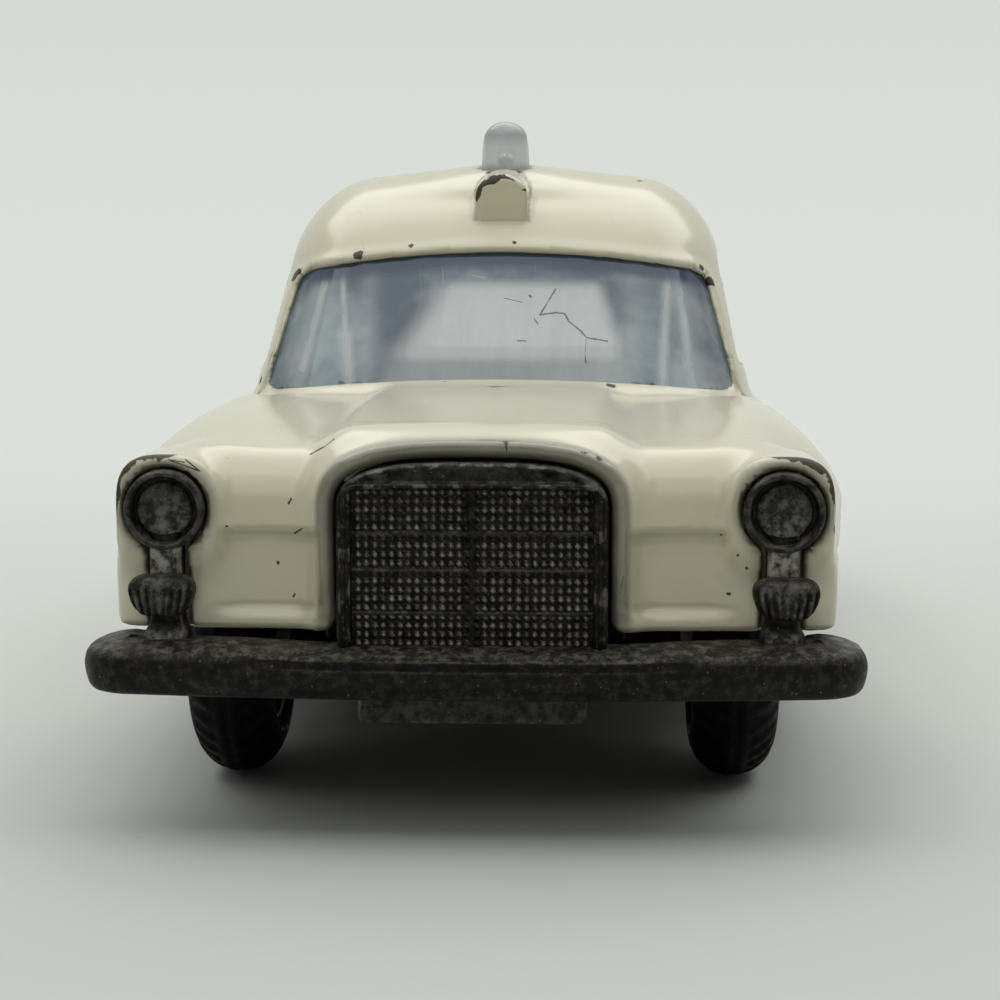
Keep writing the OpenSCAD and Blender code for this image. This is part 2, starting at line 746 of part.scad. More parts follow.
module axle_slots() {
    slot_r = axle_d / 2 + run_gap;
    for (y = [front_axle_y, rear_axle_y]) translate([0, y, axle_z]) {
        cross_rod(-inner_hw - cut_over, inner_hw + cut_over, slot_r);
        box([-inner_hw - cut_over, -slot_r, 0], [inner_hw + cut_over, slot_r, saddle_top_z]);
    }
}

// Cast radiator: a framed mesh field with a middle bar and cross bars
grille_face_y = nose_y - grille_proud - lap / 2;
grille_foot_z = bumper_top_z - lap;
module grille() {
    back_y = nose_y + wall;
    hw = grille_w / 2 - fit_gap;
    top = grille_top_z - fit_gap;
    field_top = grille_shoulder_z + (grille_top_z - grille_shoulder_z) / 2;
    field_y = grille_face_y + grille_depth;
    step = (field_top - bumper_top_z) / (grille_bars + 1);
    difference() {
        along_car(grille_face_y, back_y) polygon(arch(hw, grille_foot_z, grille_shoulder_z, top));
        box([grille_frame - hw, grille_face_y - cut_over, bumper_top_z],
            [hw - grille_frame, field_y, field_top]);
    }
    box([-grille_bar / 2, grille_face_y, bumper_top_z - lap],
        [grille_bar / 2, field_y + lap, field_top + lap]);
    for (i = [1:grille_bars]) translate([0, 0, bumper_top_z + i * step])
        box([grille_frame - hw - lap, (grille_face_y + field_y) / 2, -grille_bar / 2],
            [hw - grille_frame + lap, field_y + lap, grille_bar / 2]);
}

// A headlamp in its bezel, an indicator below it and the stem that carries both
module lamp_stack() {
    back_y = nose_y + pocket_depth - fit_gap;
    face_y = nose_y - lamp_proud;
    lens_r = lamp_d / 2 - lamp_ring;
    translate([lamp_x, 0, lamp_z]) {
        difference() {
            long_rod(face_y, back_y, lamp_d / 2);
            long_rod(face_y - cut_over, face_y + lamp_depth, lens_r);
        }
        long_rod(face_y + lamp_depth / 2, back_y, lens_r - fit_gap);
    }
    box([lamp_x - stem_w / 2, nose_y - lamp_proud / 2, bumper_top_z - lap],
        [lamp_x + stem_w / 2, back_y, lamp_z]);
    along_car(nose_y - indicator_proud, nose_y - lamp_proud / 2)
        translate([lamp_x - indicator_w / 2, indicator_z - indicator_h / 2])
            rounded(indicator_h / 3) square([indicator_w, indicator_h]);
}

module plate_bracket() {
    y = -car_l / 2 + bumper_bow + bracket_t;
    box([-bracket_w / 2, y, bumper_foot_z - bracket_drop],
        [bracket_w / 2, y + bracket_t, bumper_foot_z + lap]);
}

module base_casting() {
    color("dimgray") difference() {
        union() {
            floor_plate();
            front_bumper();
            rear_bumper();
            saddles();
            grille();
            both_sides() lamp_stack();
            plate_bracket();
        }
        axle_slots();
        for (y = [front_post_y, rear_post_y])
            translate([0, y, floor_z - cut_over])
                cylinder(h = floor_t + 2 * cut_over, d = rivet_d + 2 * run_gap);
    }
}

module rivet(y) {
    color("gray") translate([0, y, 0]) {
        translate([0, 0, floor_z - rivet_head_t]) cylinder(h = rivet_head_t, d = rivet_head_d);
        translate([0, 0, floor_z]) cylinder(h = floor_t + rivet_bite, d = rivet_d);
    }
}

// Interior tray with dashboard, bench seat, steering wheel and the ribs that keep the axles down
tray_w = 2 * (inner_hw - tray_inset);
tray_z = saddle_top_z + fit_gap;
tray_top_z = tray_z + tray_t;
tray_rear_y = rear_post_y - post_d / 2 - fit_gap - base_gap;
tray_front_y = front_post_y + post_d / 2 + fit_gap + base_gap;
dash_y = screen_y + screen_bow + dash_t;
seat_y = door_y + front_window_l - seat_l - seat_back_t;
// Share of the axle's length that the keeper ribs span
keeper_share = 0.8;
// Lean of the steering wheel from upright, in degrees
steering_lean = 35;
// Share of the tray's half width where the steering wheel sits
driver_share = 0.5;

module keeper_ribs() {
    slot_hw = axle_d / 2 + run_gap - fit_gap;
    rib_hw = keeper_share * inner_hw;
    for (y = [front_axle_y, rear_axle_y])
        box([-rib_hw, y - slot_hw, axle_z + axle_d / 2 + fit_gap],
            [rib_hw, y + slot_hw, tray_z + tray_t / 2]);
}

// Share of the dashboard's height where the steering column meets it
column_share = 0.5;
module steering_wheel() {
    column_l = 2 * dash_t;
    hub_z = tray_top_z + column_share * (dash_z - tray_top_z);
    translate([driver_share * tray_w / 2, dash_y + dash_t / 2, hub_z]) rotate([steering_lean - 90, 0, 0]) {
        cylinder(h = column_l, d = 2 * steering_t);
        translate([0, 0, column_l - steering_t]) {
            cylinder(h = steering_t / 2, d = steering_d - steering_t);
            translate([0, 0, steering_t / 4]) rotate_extrude() translate([(steering_d - steering_t) / 2, 0])
                circle(d = steering_t);
        }
    }
}

module interior_moulding() {
    seat_hw = tray_w / 2;
    color("palegoldenrod") {
        box([-tray_w / 2, tray_front_y, tray_z], [tray_w / 2, tray_rear_y, tray_top_z]);
        keeper_ribs();
        box([-tray_w / 2, dash_y, tray_z], [tray_w / 2, dash_y + dash_t, dash_z]);
        box([-seat_hw, seat_y, tray_z], [seat_hw, seat_y + seat_l, tray_top_z + seat_h]);
        box([-seat_hw, seat_y + seat_l - lap, tray_z],
            [seat_hw, seat_y + seat_l + seat_back_t, tray_top_z + seat_back_h]);
        steering_wheel();
    }
}

// Stretcher: a framed tray on two runners, with a mattress and a pillow moulded on it
stretcher_y = seat_y + seat_l + seat_back_t + base_gap;
stretcher_l = tray_rear_y - stretcher_gap - stretcher_y;
// Shares of the stretcher's size that its mattress and pillow take
mattress_share = 0.84;
pillow_share = 0.18;
pillow_width_share = 0.62;
module stretcher() {
    frame_z = tray_top_z + stretcher_h;
    bed_w = mattress_share * stretcher_w;
    bed_margin = (stretcher_w - bed_w) / 2;
    pillow_l = pillow_share * stretcher_l;
    bed_top_z = frame_z + stretcher_t + mattress_t;
    color("whitesmoke") translate([0, stretcher_y, 0]) {
        box([-stretcher_w / 2, 0, frame_z], [stretcher_w / 2, stretcher_l, frame_z + stretcher_t]);
        both_sides() box([stretcher_w / 2 - stretcher_t, bed_margin, tray_top_z],
            [stretcher_w / 2, stretcher_l - bed_margin, frame_z + stretcher_t / 2]);
        box([-bed_w / 2, bed_margin, frame_z + stretcher_t / 2],
            [bed_w / 2, stretcher_l - bed_margin, bed_top_z]);
        box([-pillow_width_share * bed_w / 2, 2 * bed_margin, bed_top_z - lap],
            [pillow_width_share * bed_w / 2, 2 * bed_margin + pillow_l, bed_top_z + pillow_t]);
    }
}

// A wheel is drawn about the Z axis, with +Z pointing out of the car
axle_hw = track / 2 + hub_w / 2 + wheel_play;
module place_wheel(y, side) {
    translate([side * track / 2, y, axle_z]) rotate([0, side * 90, 0]) children();
}

module axle(y) {
    color("silver") translate([0, y, axle_z]) {
        cross_rod(-axle_hw - axle_head_t, axle_hw + axle_head_t, axle_d / 2);
        both_sides() cross_rod(axle_hw, axle_hw + axle_head_t, axle_head_d / 2);
    }
}

// Tyre section: a straight bead on the hub, upright walls and a round crown
module tyre() {
    bead_r = hub_d / 2;
    crown_r = tyre_w / 2;
    shoulder_r = wheel_d / 2 - crown_r;
    color("black") rotate_extrude() polygon(concat(
        [[bead_r, hub_w / 2], [bead_r, -hub_w / 2]],
        arc([shoulder_r, 0], crown_r, -90, 90, 4 * arc_steps)));
}

// Hub: a rim that carries the tyre, a dished web and a boss round the axle
module hub() {
    rim_t = web_t / 2;
    color("darkgray") difference() {
        union() {
            difference() {
                translate([0, 0, -hub_w / 2]) cylinder(h = hub_w, d = hub_d);
                translate([0, 0, web_t / 2]) cylinder(h = hub_w, d = hub_d - 2 * rim_t);
                translate([0, 0, -web_t / 2 - hub_w]) cylinder(h = hub_w, d = hub_d - 2 * rim_t);
            }
            translate([0, 0, -hub_w / 2]) cylinder(h = hub_w, d = boss_d);
        }
        translate([0, 0, -hub_w]) cylinder(h = 2 * hub_w, d = axle_d + 2 * run_gap);
    }
}

body_shell();
base_casting();
window_moulding();
interior_moulding();
stretcher();
tailgate();
tailgate_window();
tailgate_hinge_pin();
rivet(front_post_y);  // front_rivet
rivet(rear_post_y);  // rear_rivet
axle(front_axle_y);  // front_axle
axle(rear_axle_y);  // rear_axle
place_wheel(front_axle_y, 1) hub();  // front_left_hub
place_wheel(front_axle_y, -1) hub();  // front_right_hub
place_wheel(rear_axle_y, 1) hub();  // rear_left_hub
place_wheel(rear_axle_y, -1) hub();  // rear_right_hub
place_wheel(front_axle_y, 1) tyre();  // front_left_tyre
place_wheel(front_axle_y, -1) tyre();  // front_right_tyre
place_wheel(rear_axle_y, 1) tyre();  // rear_left_tyre
place_wheel(rear_axle_y, -1) tyre();  // rear_right_tyre
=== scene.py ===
# %% [markdown]
# # A worn die-cast toy ambulance
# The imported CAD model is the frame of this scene: it says where every piece is and what it turns
# on. Each piece below is drawn in millimetres, because a toy is measured that way, and turned into
# metres when its mesh is made.

import bmesh
import bpy
import numpy as np
from mathutils import Matrix


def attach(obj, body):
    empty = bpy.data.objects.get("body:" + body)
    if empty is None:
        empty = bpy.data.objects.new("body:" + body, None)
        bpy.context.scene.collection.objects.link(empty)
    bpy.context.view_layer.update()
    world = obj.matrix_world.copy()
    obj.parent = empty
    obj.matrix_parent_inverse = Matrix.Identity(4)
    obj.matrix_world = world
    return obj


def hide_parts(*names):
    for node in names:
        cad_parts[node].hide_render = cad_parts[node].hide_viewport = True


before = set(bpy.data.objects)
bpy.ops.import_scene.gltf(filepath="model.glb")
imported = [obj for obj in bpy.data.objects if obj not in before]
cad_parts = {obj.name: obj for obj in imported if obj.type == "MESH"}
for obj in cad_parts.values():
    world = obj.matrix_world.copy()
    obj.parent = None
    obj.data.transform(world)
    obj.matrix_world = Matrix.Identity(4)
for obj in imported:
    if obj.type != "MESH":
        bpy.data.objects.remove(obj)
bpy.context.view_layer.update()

MM = 0.001

# %% [markdown]
# ## Camera
# The photograph was taken close to the bumper, from just above it and a little to one side. The
# focal length is in pixels of the 1000 pixel picture, so the lens follows from the width of the
# sensor. The camera's axes are written out as vectors, which is easier to check than three angles.

# %% Camera
IMAGE_PX = 1000.0
FOCAL_PX = 2100.0
YAW, PITCH = np.radians(-2.356), np.radians(6.654)
CAMERA_MM = np.array([4.02, -108.5, 20.95])

forward = np.array([np.sin(YAW) * np.cos(PITCH), np.cos(YAW) * np.cos(PITCH), -np.sin(PITCH)])
right = np.array([np.cos(YAW), -np.sin(YAW), 0.0])
camera = bpy.data.objects.new("camera", bpy.data.cameras.new("camera"))
camera.data.sensor_width = 36.0
camera.data.lens = camera.data.sensor_width * FOCAL_PX / IMAGE_PX
camera.data.clip_start = 0.001
axes = np.column_stack([right, np.cross(right, forward), -forward])
camera.matrix_world = Matrix.Translation(CAMERA_MM * MM) @ Matrix(axes.tolist()).to_4x4()
bpy.context.scene.collection.objects.link(camera)
bpy.context.scene.camera = camera
print("lens", round(camera.data.lens, 1), "mm")

# %% [markdown]
# ## From numbers to meshes
# Two kinds of shape are used. Turned and swept pieces are a grid of points: a function of two
# parameters. Castings have soft edges everywhere and openings cut through them, which no single
# grid can follow, so they are the zero level of a distance field: a function of x, y and z that is
# negative inside.

# %% Meshes from arrays
def mesh_from(name, points, faces):
    """Points in millimetres and faces as an array of corner numbers, put into a mesh in metres."""
    mesh = bpy.data.meshes.new(name)
    corners = faces.shape[1]
    mesh.vertices.add(len(points))
    mesh.vertices.foreach_set("co", (np.asarray(points) * MM).astype(np.float32).ravel())
    mesh.loops.add(faces.size)
    mesh.loops.foreach_set("vertex_index", faces.astype(np.int32).ravel())
    mesh.polygons.add(len(faces))
    mesh.polygons.foreach_set("loop_start", np.arange(0, faces.size, corners, dtype=np.int32))
    mesh.polygons.foreach_set("use_smooth", np.ones(len(faces), dtype=bool))
    mesh.update(calc_edges=True)
    return mesh


def add_piece(mesh, body, slot, material, *nodes):
    """Put a mesh in the scene as a piece that rides on a body and stands for the named CAD nodes."""
    piece = bpy.data.objects.new(mesh.name, mesh)
    bpy.context.scene.collection.objects.link(piece)
    mesh.materials.append(material)
    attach(piece, body)
    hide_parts(*nodes)
    print(piece.name, len(mesh.polygons), "faces")


def grid_faces(rows, columns, wrap_rows=False, wrap_columns=False):
    """Four-cornered faces of a grid of points that is stored row by row."""
    i = np.arange(rows if wrap_rows else rows - 1)
    j = np.arange(columns if wrap_columns else columns - 1)
    i, j = np.meshgrid(i, j, indexing="ij")
    i1, j1 = (i + 1) % rows, (j + 1) % columns
    ring = [i * columns + j, i1 * columns + j, i1 * columns + j1, i * columns + j1]
    return np.stack(ring, -1).reshape(-1, 4)


def joined(*parts):
    """Several point and face arrays as one."""
    starts = np.cumsum([0] + [len(p) for p, _ in parts[:-1]])
    faces = [f + start for (_, f), start in zip(parts, starts)]
    return np.concatenate([p for p, _ in parts]), np.concatenate(faces)


def closed_mesh(name, points, faces):
    """A mesh whose doubled points at seams and poles are merged, with every face turned outwards."""
    mesh = mesh_from(name, points, faces)
    work = bmesh.new()
    work.from_mesh(mesh)
    bmesh.ops.remove_doubles(work, verts=work.verts, dist=1e-7)
    bmesh.ops.recalc_face_normals(work, faces=work.faces)
    work.to_mesh(mesh)
    work.free()
    return mesh


# %% [markdown]
# A distance field gives, at any place, how far the nearest surface is. Two shapes are joined or cut
# by taking the smaller or larger distance, and the corner between them is rounded by drawing a
# quarter circle there.

# %% Distance fields
def smooth(t):
    """An easy rise from 0 to 1 while t goes from 0 to 1."""
    t = np.clip(t, 0, 1)
    return t * t * (3 - 2 * t)


def round_max(a, b, r):
    """Where two shapes overlap, with a rounded edge of radius r: a quarter circle in the two distances."""
    return np.minimum(np.maximum(a, b), -r) + np.hypot(np.maximum(a + r, 0), np.maximum(b + r, 0))


def round_min(a, b, r):
    """Two shapes together, with a hollow fillet of radius r in the corner between them."""
    return np.maximum(np.minimum(a, b), r) - np.hypot(np.maximum(r - a, 0), np.maximum(r - b, 0))


def soft_box(x, y, z, low, high, r):
    """Distance from a box with edges of radius r."""
    qx, qy, qz = (np.abs(p - (a + b) / 2) - (b - a) / 2 + r for p, a, b in zip((x, y, z), low, high))
    outside = np.sqrt(np.maximum(qx, 0) ** 2 + np.maximum(qy, 0) ** 2 + np.maximum(qz, 0) ** 2)
    return outside + np.minimum(np.maximum(np.maximum(qx, qy), qz), 0) - r


def between(p, low, high):
    """Distance along one axis from a slab."""
    return np.abs(p - (low + high) / 2) - (high - low) / 2


def samples(*stretches):
    """Places along one axis: each stretch is a start, an end and a spacing."""
    return np.unique(np.round(np.concatenate(
        [np.linspace(a, b, max(2, int(round((b - a) / s)) + 1)) for a, b, s in stretches]), 6))


# %% [markdown]
# To see a field, it is sampled on a grid and a point is put in each cell that the surface passes.
# The points then slide onto the surface itself, so that a coarse grid still gives a smooth casting.

# %% Surface of a field
def surface_net(values, axes):
    """One point in each cell that the surface passes, at the mean of its edge crossings, and one face
    across each grid edge that it crosses."""
    inside = values < 0
    cells = np.array(values.shape) - 1
    numbers, places, quads = [], [], []
    for axis in range(3):
        low = [slice(None)] * 3
        high = [slice(None)] * 3
        low[axis], high[axis] = slice(0, -1), slice(1, None)
        a, b = values[tuple(low)], values[tuple(high)]
        edge = np.argwhere(inside[tuple(low)] != inside[tuple(high)])
        va, vb = a[tuple(edge.T)], b[tuple(edge.T)]
        place = np.stack([axes[k][edge[:, k]] for k in range(3)], 1)
        start = axes[axis][edge[:, axis]]
        place[:, axis] = start + va / (va - vb) * (axes[axis][edge[:, axis] + 1] - start)
        u, v = (axis + 1) % 3, (axis + 2) % 3
        ring = []
        for du, dv in ((0, 0), (1, 0), (1, 1), (0, 1)):
            cell = edge.copy()
            cell[:, u] -= du
            cell[:, v] -= dv
            ring.append(np.ravel_multi_index(tuple(cell.T), tuple(cells)))
            numbers.append(ring[-1])
            places.append(place)
        ring = np.stack(ring, 1)
        quads.append(np.where((va < 0)[:, None], ring, ring[:, ::-1]))
    numbers, places = np.concatenate(numbers), np.concatenate(places)
    used, number = np.unique(numbers, return_inverse=True)
    count = np.bincount(number)
    points = np.stack([np.bincount(number, places[:, k]) / count for k in range(3)], 1)
    return points, np.searchsorted(used, np.concatenate(quads))


def slope(field, points, step=0.02):
    """The field's gradient at each point, from differences along the three axes."""
    shifts = np.eye(3) * step
    return np.stack([(field(*(points + s).T) - field(*(points - s).T)) / (2 * step) for s in shifts], 1)


def settle(field, points, rounds=4, reach=0.1):
    """Move the points along the slope until they lie on the zero level, a little way at a time."""
    for _ in range(rounds):
        g = slope(field, points)
        move = -field(*points.T)[:, None] * g / np.maximum((g * g).sum(1), 1e-3)[:, None]
        length = np.linalg.norm(move, axis=1, keepdims=True)
        points = points + move * np.minimum(1, reach / np.maximum(length, 1e-9))
    return points


def bend(field, points, step=0.22):
    """How strongly the surface bends at each point, positive on outer edges: the field's second
    differences added up."""
    middle = 6 * field(*points.T)
    shifts = np.eye(3) * step
    return (sum(field(*(points + s).T) + field(*(points - s).T) for s in shifts) - middle) / step ** 2


def cast_mesh(name, field, axes):
    """The zero level of a field as a mesh, with the field's own normals and its bend kept as an
    attribute that the finishes read for wear."""
    grid = np.meshgrid(*axes, indexing="ij")
    points, faces = surface_net(field(*grid), axes)
    points = settle(field, points)
    normals = slope(field, points)
    normals /= np.maximum(np.linalg.norm(normals, axis=1, keepdims=True), 1e-9)
    mesh = mesh_from(name, points, faces)
    mesh.normals_split_custom_set_from_vertices(normals.tolist())
    edge = mesh.attributes.new("edge", "FLOAT", "POINT")
    edge.data.foreach_set("value", np.clip(bend(field, points) / 4, -1, 1).astype(np.float32))
    return mesh, points


# %% [markdown]
# ## Shader helpers
# A finish is a small tree of nodes. These helpers add a node, set its inputs and link it in one
# line.

# %% Node helpers
def fill(tree, made, inputs):
    """Give a node's inputs what they need: a socket is linked, anything else is set as a value."""
    for key, value in inputs.items():
        if isinstance(value, bpy.types.NodeSocket):
            tree.links.new(value, made.inputs[key])
        else:
            made.inputs[key].default_value = value
    return made


def node(tree, kind, inputs=None, **settings):
    """Add a shader node: settings are its own properties, inputs are values or sockets to link."""
    made = tree.nodes.new("ShaderNode" + kind)
    for key, value in settings.items():
        setattr(made, key, value)
    return fill(tree, made, inputs or {})


def object_place(tree):
    """Object coordinates as one vector."""
    return node(tree, "TexCoord").outputs["Object"]


def object_axes(tree):
    """Object coordinates as separate X, Y and Z."""
    return node(tree, "SeparateXYZ", {0: object_place(tree)}).outputs


def stretched(tree, scale):
    """Object coordinates stretched along the axes whose scale is small."""
    return node(tree, "Mapping", {"Vector": object_place(tree), "Scale": scale}).outputs[0]


def math(tree, operation, *values, clamp=False):
    """A Math node on values or sockets."""
    return node(tree, "Math", dict(enumerate(values)), operation=operation, use_clamp=clamp).outputs[0]


def ramp(tree, value, low, high, to_low=0.0, to_high=1.0):
    """A soft step: value from low to high becomes to_low to to_high."""
    return node(tree, "MapRange", {0: value, 1: low, 2: high, 3: to_low, 4: to_high},
                interpolation_type="SMOOTHSTEP").outputs[0]


def mix_colour(tree, factor, a, b):
    """One colour into another by a factor."""
    a, b = (c if isinstance(c, bpy.types.NodeSocket) else (*c, 1.0) for c in (a, b))
    return node(tree, "Mix", {0: factor, 6: a, 7: b}, data_type="RGBA").outputs[2]


def noise(tree, scale, detail=3.0, rough=0.55, vector=None):
    """A Noise texture on Object coordinates."""
    return node(tree, "TexNoise", {"Vector": vector or object_place(tree), "Scale": scale,
                                   "Detail": detail, "Roughness": rough}).outputs["Fac"]


def bumps(tree, height, strength, depth):
    """The normal of a surface with small bumps, their depth in millimetres."""
    inputs = {"Height": height, "Strength": strength, "Distance": depth * MM}
    return node(tree, "Bump", inputs).outputs[0]


def new_group(name, inputs, outputs):
    """An empty shader node group with named number inputs and outputs."""
    group = bpy.data.node_groups.new(name, "ShaderNodeTree")
    for label, value in inputs.items():
        socket = group.interface.new_socket(label, in_out="INPUT", socket_type="NodeSocketFloat")
        socket.default_value = value
    for label in outputs:
        group.interface.new_socket(label, in_out="OUTPUT", socket_type="NodeSocketFloat")
    return group, group.nodes.new("NodeGroupInput").outputs, group.nodes.new("NodeGroupOutput").inputs


def use_group(tree, group, **inputs):
    """Place a group in a material with its own values."""
    return node(tree, "Group", inputs, node_tree=group).outputs


def new_material(name):
    """A material with its tree and its Principled shader."""
    material = bpy.data.materials.new(name)
    material.use_nodes = True
    tree = material.node_tree
    return material, tree, tree.nodes["Principled BSDF"]


def attribute(tree, name):
    """A number that the mesh carries at its points."""
    return node(tree, "Attribute", attribute_name=name).outputs["Fac"]


# %% [markdown]
# ## Wear that several finishes share
# Paint and bare metal both lose their surface on outer edges, both carry dark specks, and paint and
# clear plastic both have hairline scratches. Each of these is a node group that gives a mask.

# %% Shared wear
rubbed_edges, given, result = new_group(
    "rubbed_edges", {"Edge": 0.0, "Amount": 0.5, "Scale": 900.0}, ["Mask"])
patchy = noise(rubbed_edges, given["Scale"], 4.0, 0.6)
start = math(rubbed_edges, "SUBTRACT", 1.0, math(rubbed_edges, "MULTIPLY", given["Edge"], given["Amount"]))
mask = ramp(rubbed_edges, math(rubbed_edges, "SUBTRACT", patchy, start), 0.0, 0.12)
rubbed_edges.links.new(mask, result["Mask"])

specks, given, result = new_group("specks", {"Scale": 500.0, "Share": 0.1, "Size": 0.2}, ["Mask"])
cells = node(specks, "TexVoronoi", {"Vector": object_place(specks), "Scale": given["Scale"]})
chosen = math(specks, "LESS_THAN", node(specks, "SeparateColor", {0: cells.outputs["Color"]}).outputs[0],
              given["Share"])
uneven = math(specks, "MULTIPLY", noise(specks, 4000.0, 2.0), given["Size"])
near = math(specks, "LESS_THAN", cells.outputs["Distance"], uneven)
specks.links.new(math(specks, "MULTIPLY", chosen, near), result["Mask"])

hairlines, given, result = new_group("hairlines", {"Scale": 260.0, "Turn": 0.5, "Width": 0.004}, ["Mask"])
angles = node(hairlines, "CombineXYZ", dict.fromkeys(range(3), given["Turn"])).outputs[0]
drawn_out = node(hairlines, "Mapping", {"Vector": object_place(hairlines), "Rotation": angles,
                                        "Scale": (1.0, 0.12, 0.5)}).outputs[0]
wave = math(hairlines, "SUBTRACT", noise(hairlines, given["Scale"], 1.0, 0.4, drawn_out), 0.5)
wave = math(hairlines, "ABSOLUTE", wave)
line = math(hairlines, "LESS_THAN", wave, given["Width"])
broken = ramp(hairlines, noise(hairlines, 330.0, 2.0), 0.52, 0.6)
hairlines.links.new(math(hairlines, "MULTIPLY", line, broken), result["Mask"])
print("wear groups:", [g.name for g in bpy.data.node_groups])

# %% [markdown]
# Some marks have a known place on the front. Two more groups draw them as seen from there: a
# straight scratch between two points, and a chip along an arch that thins out towards both its
# ends.

# %% Single marks
scratch, given, result = new_group(
    "scratch", {"X0": 0.0, "Z0": 0.0, "X1": 0.001, "Z1": 0.0, "Width": 0.00003, "Soft": 0.1}, ["Mask"])
place = object_axes(scratch)
px = math(scratch, "SUBTRACT", place["X"], given["X0"])
pz = math(scratch, "SUBTRACT", place["Z"], given["Z0"])
ex = math(scratch, "SUBTRACT", given["X1"], given["X0"])
ez = math(scratch, "SUBTRACT", given["Z1"], given["Z0"])
dot = math(scratch, "ADD", math(scratch, "MULTIPLY", px, ex), math(scratch, "MULTIPLY", pz, ez))
size = math(scratch, "ADD", math(scratch, "MULTIPLY", ex, ex), math(scratch, "MULTIPLY", ez, ez))
along = math(scratch, "DIVIDE", dot, size, clamp=True)
dx = math(scratch, "SUBTRACT", px, math(scratch, "MULTIPLY", along, ex))
dz = math(scratch, "SUBTRACT", pz, math(scratch, "MULTIPLY", along, ez))
away = math(scratch, "ADD", math(scratch, "MULTIPLY", dx, dx), math(scratch, "MULTIPLY", dz, dz))
away = math(scratch, "SQRT", away)
uneven = ramp(scratch, noise(scratch, 3000.0, 3.0), 0.25, 0.75, -0.6, 0.5)
uneven = math(scratch, "MULTIPLY", uneven, math(scratch, "SUBTRACT", 1.0, given["Soft"]))
ragged = math(scratch, "MULTIPLY", given["Width"], math(scratch, "ADD", uneven, 1.0))
inside = math(scratch, "DIVIDE", math(scratch, "SUBTRACT", ragged, away), given["Width"])
scratch.links.new(math(scratch, "DIVIDE", inside, given["Soft"], clamp=True), result["Mask"])

THINNING = 0.4  # radians
arc_chip, given, result = new_group(
    "arc_chip", {"X": 0.0, "Z": 0.0, "Across": 0.001, "Up": 0.001, "Power": 2.0, "Mirror": 0.0,
                 "From": 0.0, "To": 1.0, "Width": 0.0001}, ["Mask"])
place = object_axes(arc_chip)
flip = math(arc_chip, "SUBTRACT", math(arc_chip, "ABSOLUTE", place["X"]), place["X"])
seen_x = math(arc_chip, "ADD", place["X"], math(arc_chip, "MULTIPLY", flip, given["Mirror"]))
dx = math(arc_chip, "SUBTRACT", seen_x, given["X"])
dz = math(arc_chip, "SUBTRACT", place["Z"], given["Z"])
turn = math(arc_chip, "ARCTAN2", dz, dx)
begun = math(arc_chip, "DIVIDE", math(arc_chip, "SUBTRACT", turn, given["From"]), THINNING, clamp=True)
ended = math(arc_chip, "DIVIDE", math(arc_chip, "SUBTRACT", given["To"], turn), THINNING, clamp=True)
a = math(arc_chip, "DIVIDE", math(arc_chip, "ABSOLUTE", dx), given["Across"])
b = math(arc_chip, "DIVIDE", math(arc_chip, "MAXIMUM", dz, 0.0), given["Up"])
a, b = (math(arc_chip, "POWER", share, given["Power"]) for share in (a, b))
level = math(arc_chip, "POWER", math(arc_chip, "ADD", a, b), math(arc_chip, "DIVIDE", 1.0, given["Power"]))
away = math(arc_chip, "ABSOLUTE", math(arc_chip, "SUBTRACT", level, 1.0))
away = math(arc_chip, "MULTIPLY", away, given["Across"])
width = math(arc_chip, "MULTIPLY", given["Width"], math(arc_chip, "MULTIPLY", begun, ended))
width = math(arc_chip, "MULTIPLY", width, ramp(arc_chip, noise(arc_chip, 1600.0, 4.0), 0.3, 0.7, 0.3, 1.3))
inside = math(arc_chip, "DIVIDE", math(arc_chip, "SUBTRACT", width, away), given["Width"])
arc_chip.links.new(math(arc_chip, "DIVIDE", inside, 0.12, clamp=True), result["Mask"])


def ahead_of(tree, place):
    """One on the part of the toy in front of a place along it, in millimetres, and zero behind it."""
    return math(tree, "LESS_THAN", object_axes(tree)["Y"], place * MM)


def scratches(tree, lines, front_of, soft=0.1):
    """Straight scratches seen from the front, each as x, z, x, z and width in millimetres, kept to the part
    of the toy in front of one place along it. The softer they are, the more of their width fades out."""
    total = 0.0
    for a, b, c, d, width in lines:
        ends = {"X0": a * MM, "Z0": b * MM, "X1": c * MM, "Z1": d * MM}
        mask = use_group(tree, scratch, **ends, Width=width * MM, Soft=soft)["Mask"]
        total = math(tree, "MAXIMUM", total, mask)
    return math(tree, "MULTIPLY", total, ahead_of(tree, front_of))


print("mark groups:", scratch.name, arc_chip.name)

# %% [markdown]
# ## Finishes
# Cream enamel over zinc: glossy, a little uneven, with dark specks, hairlines, dirt in the hollows
# and chips where the metal shows dark. The grille's lip, the rings round the headlamps and the lowest
# edges are darkened further, dirt and painted shade together. Most chips follow an attribute that
# the body carries, because they sit in known places. The long thin ones over the headlamps and on
# the lamp housing are drawn by the groups above.

# %% Cream paint
CREAM = (0.70, 0.665, 0.495)
CREAM_DEEP = (0.665, 0.625, 0.445)
BARE = (0.034, 0.026, 0.016)
BARE_PALE = (0.085, 0.069, 0.045)
DIRT = (0.24, 0.21, 0.15)
SOOT_AND_SHADE = (0.085, 0.075, 0.062)
LAMP_X, LAMP_Z, POD_HALF, POD_RISE = 11.05, 11.9, 1.82, 1.95
SPOT_Z, SPOT_R = 23.4, 1.25

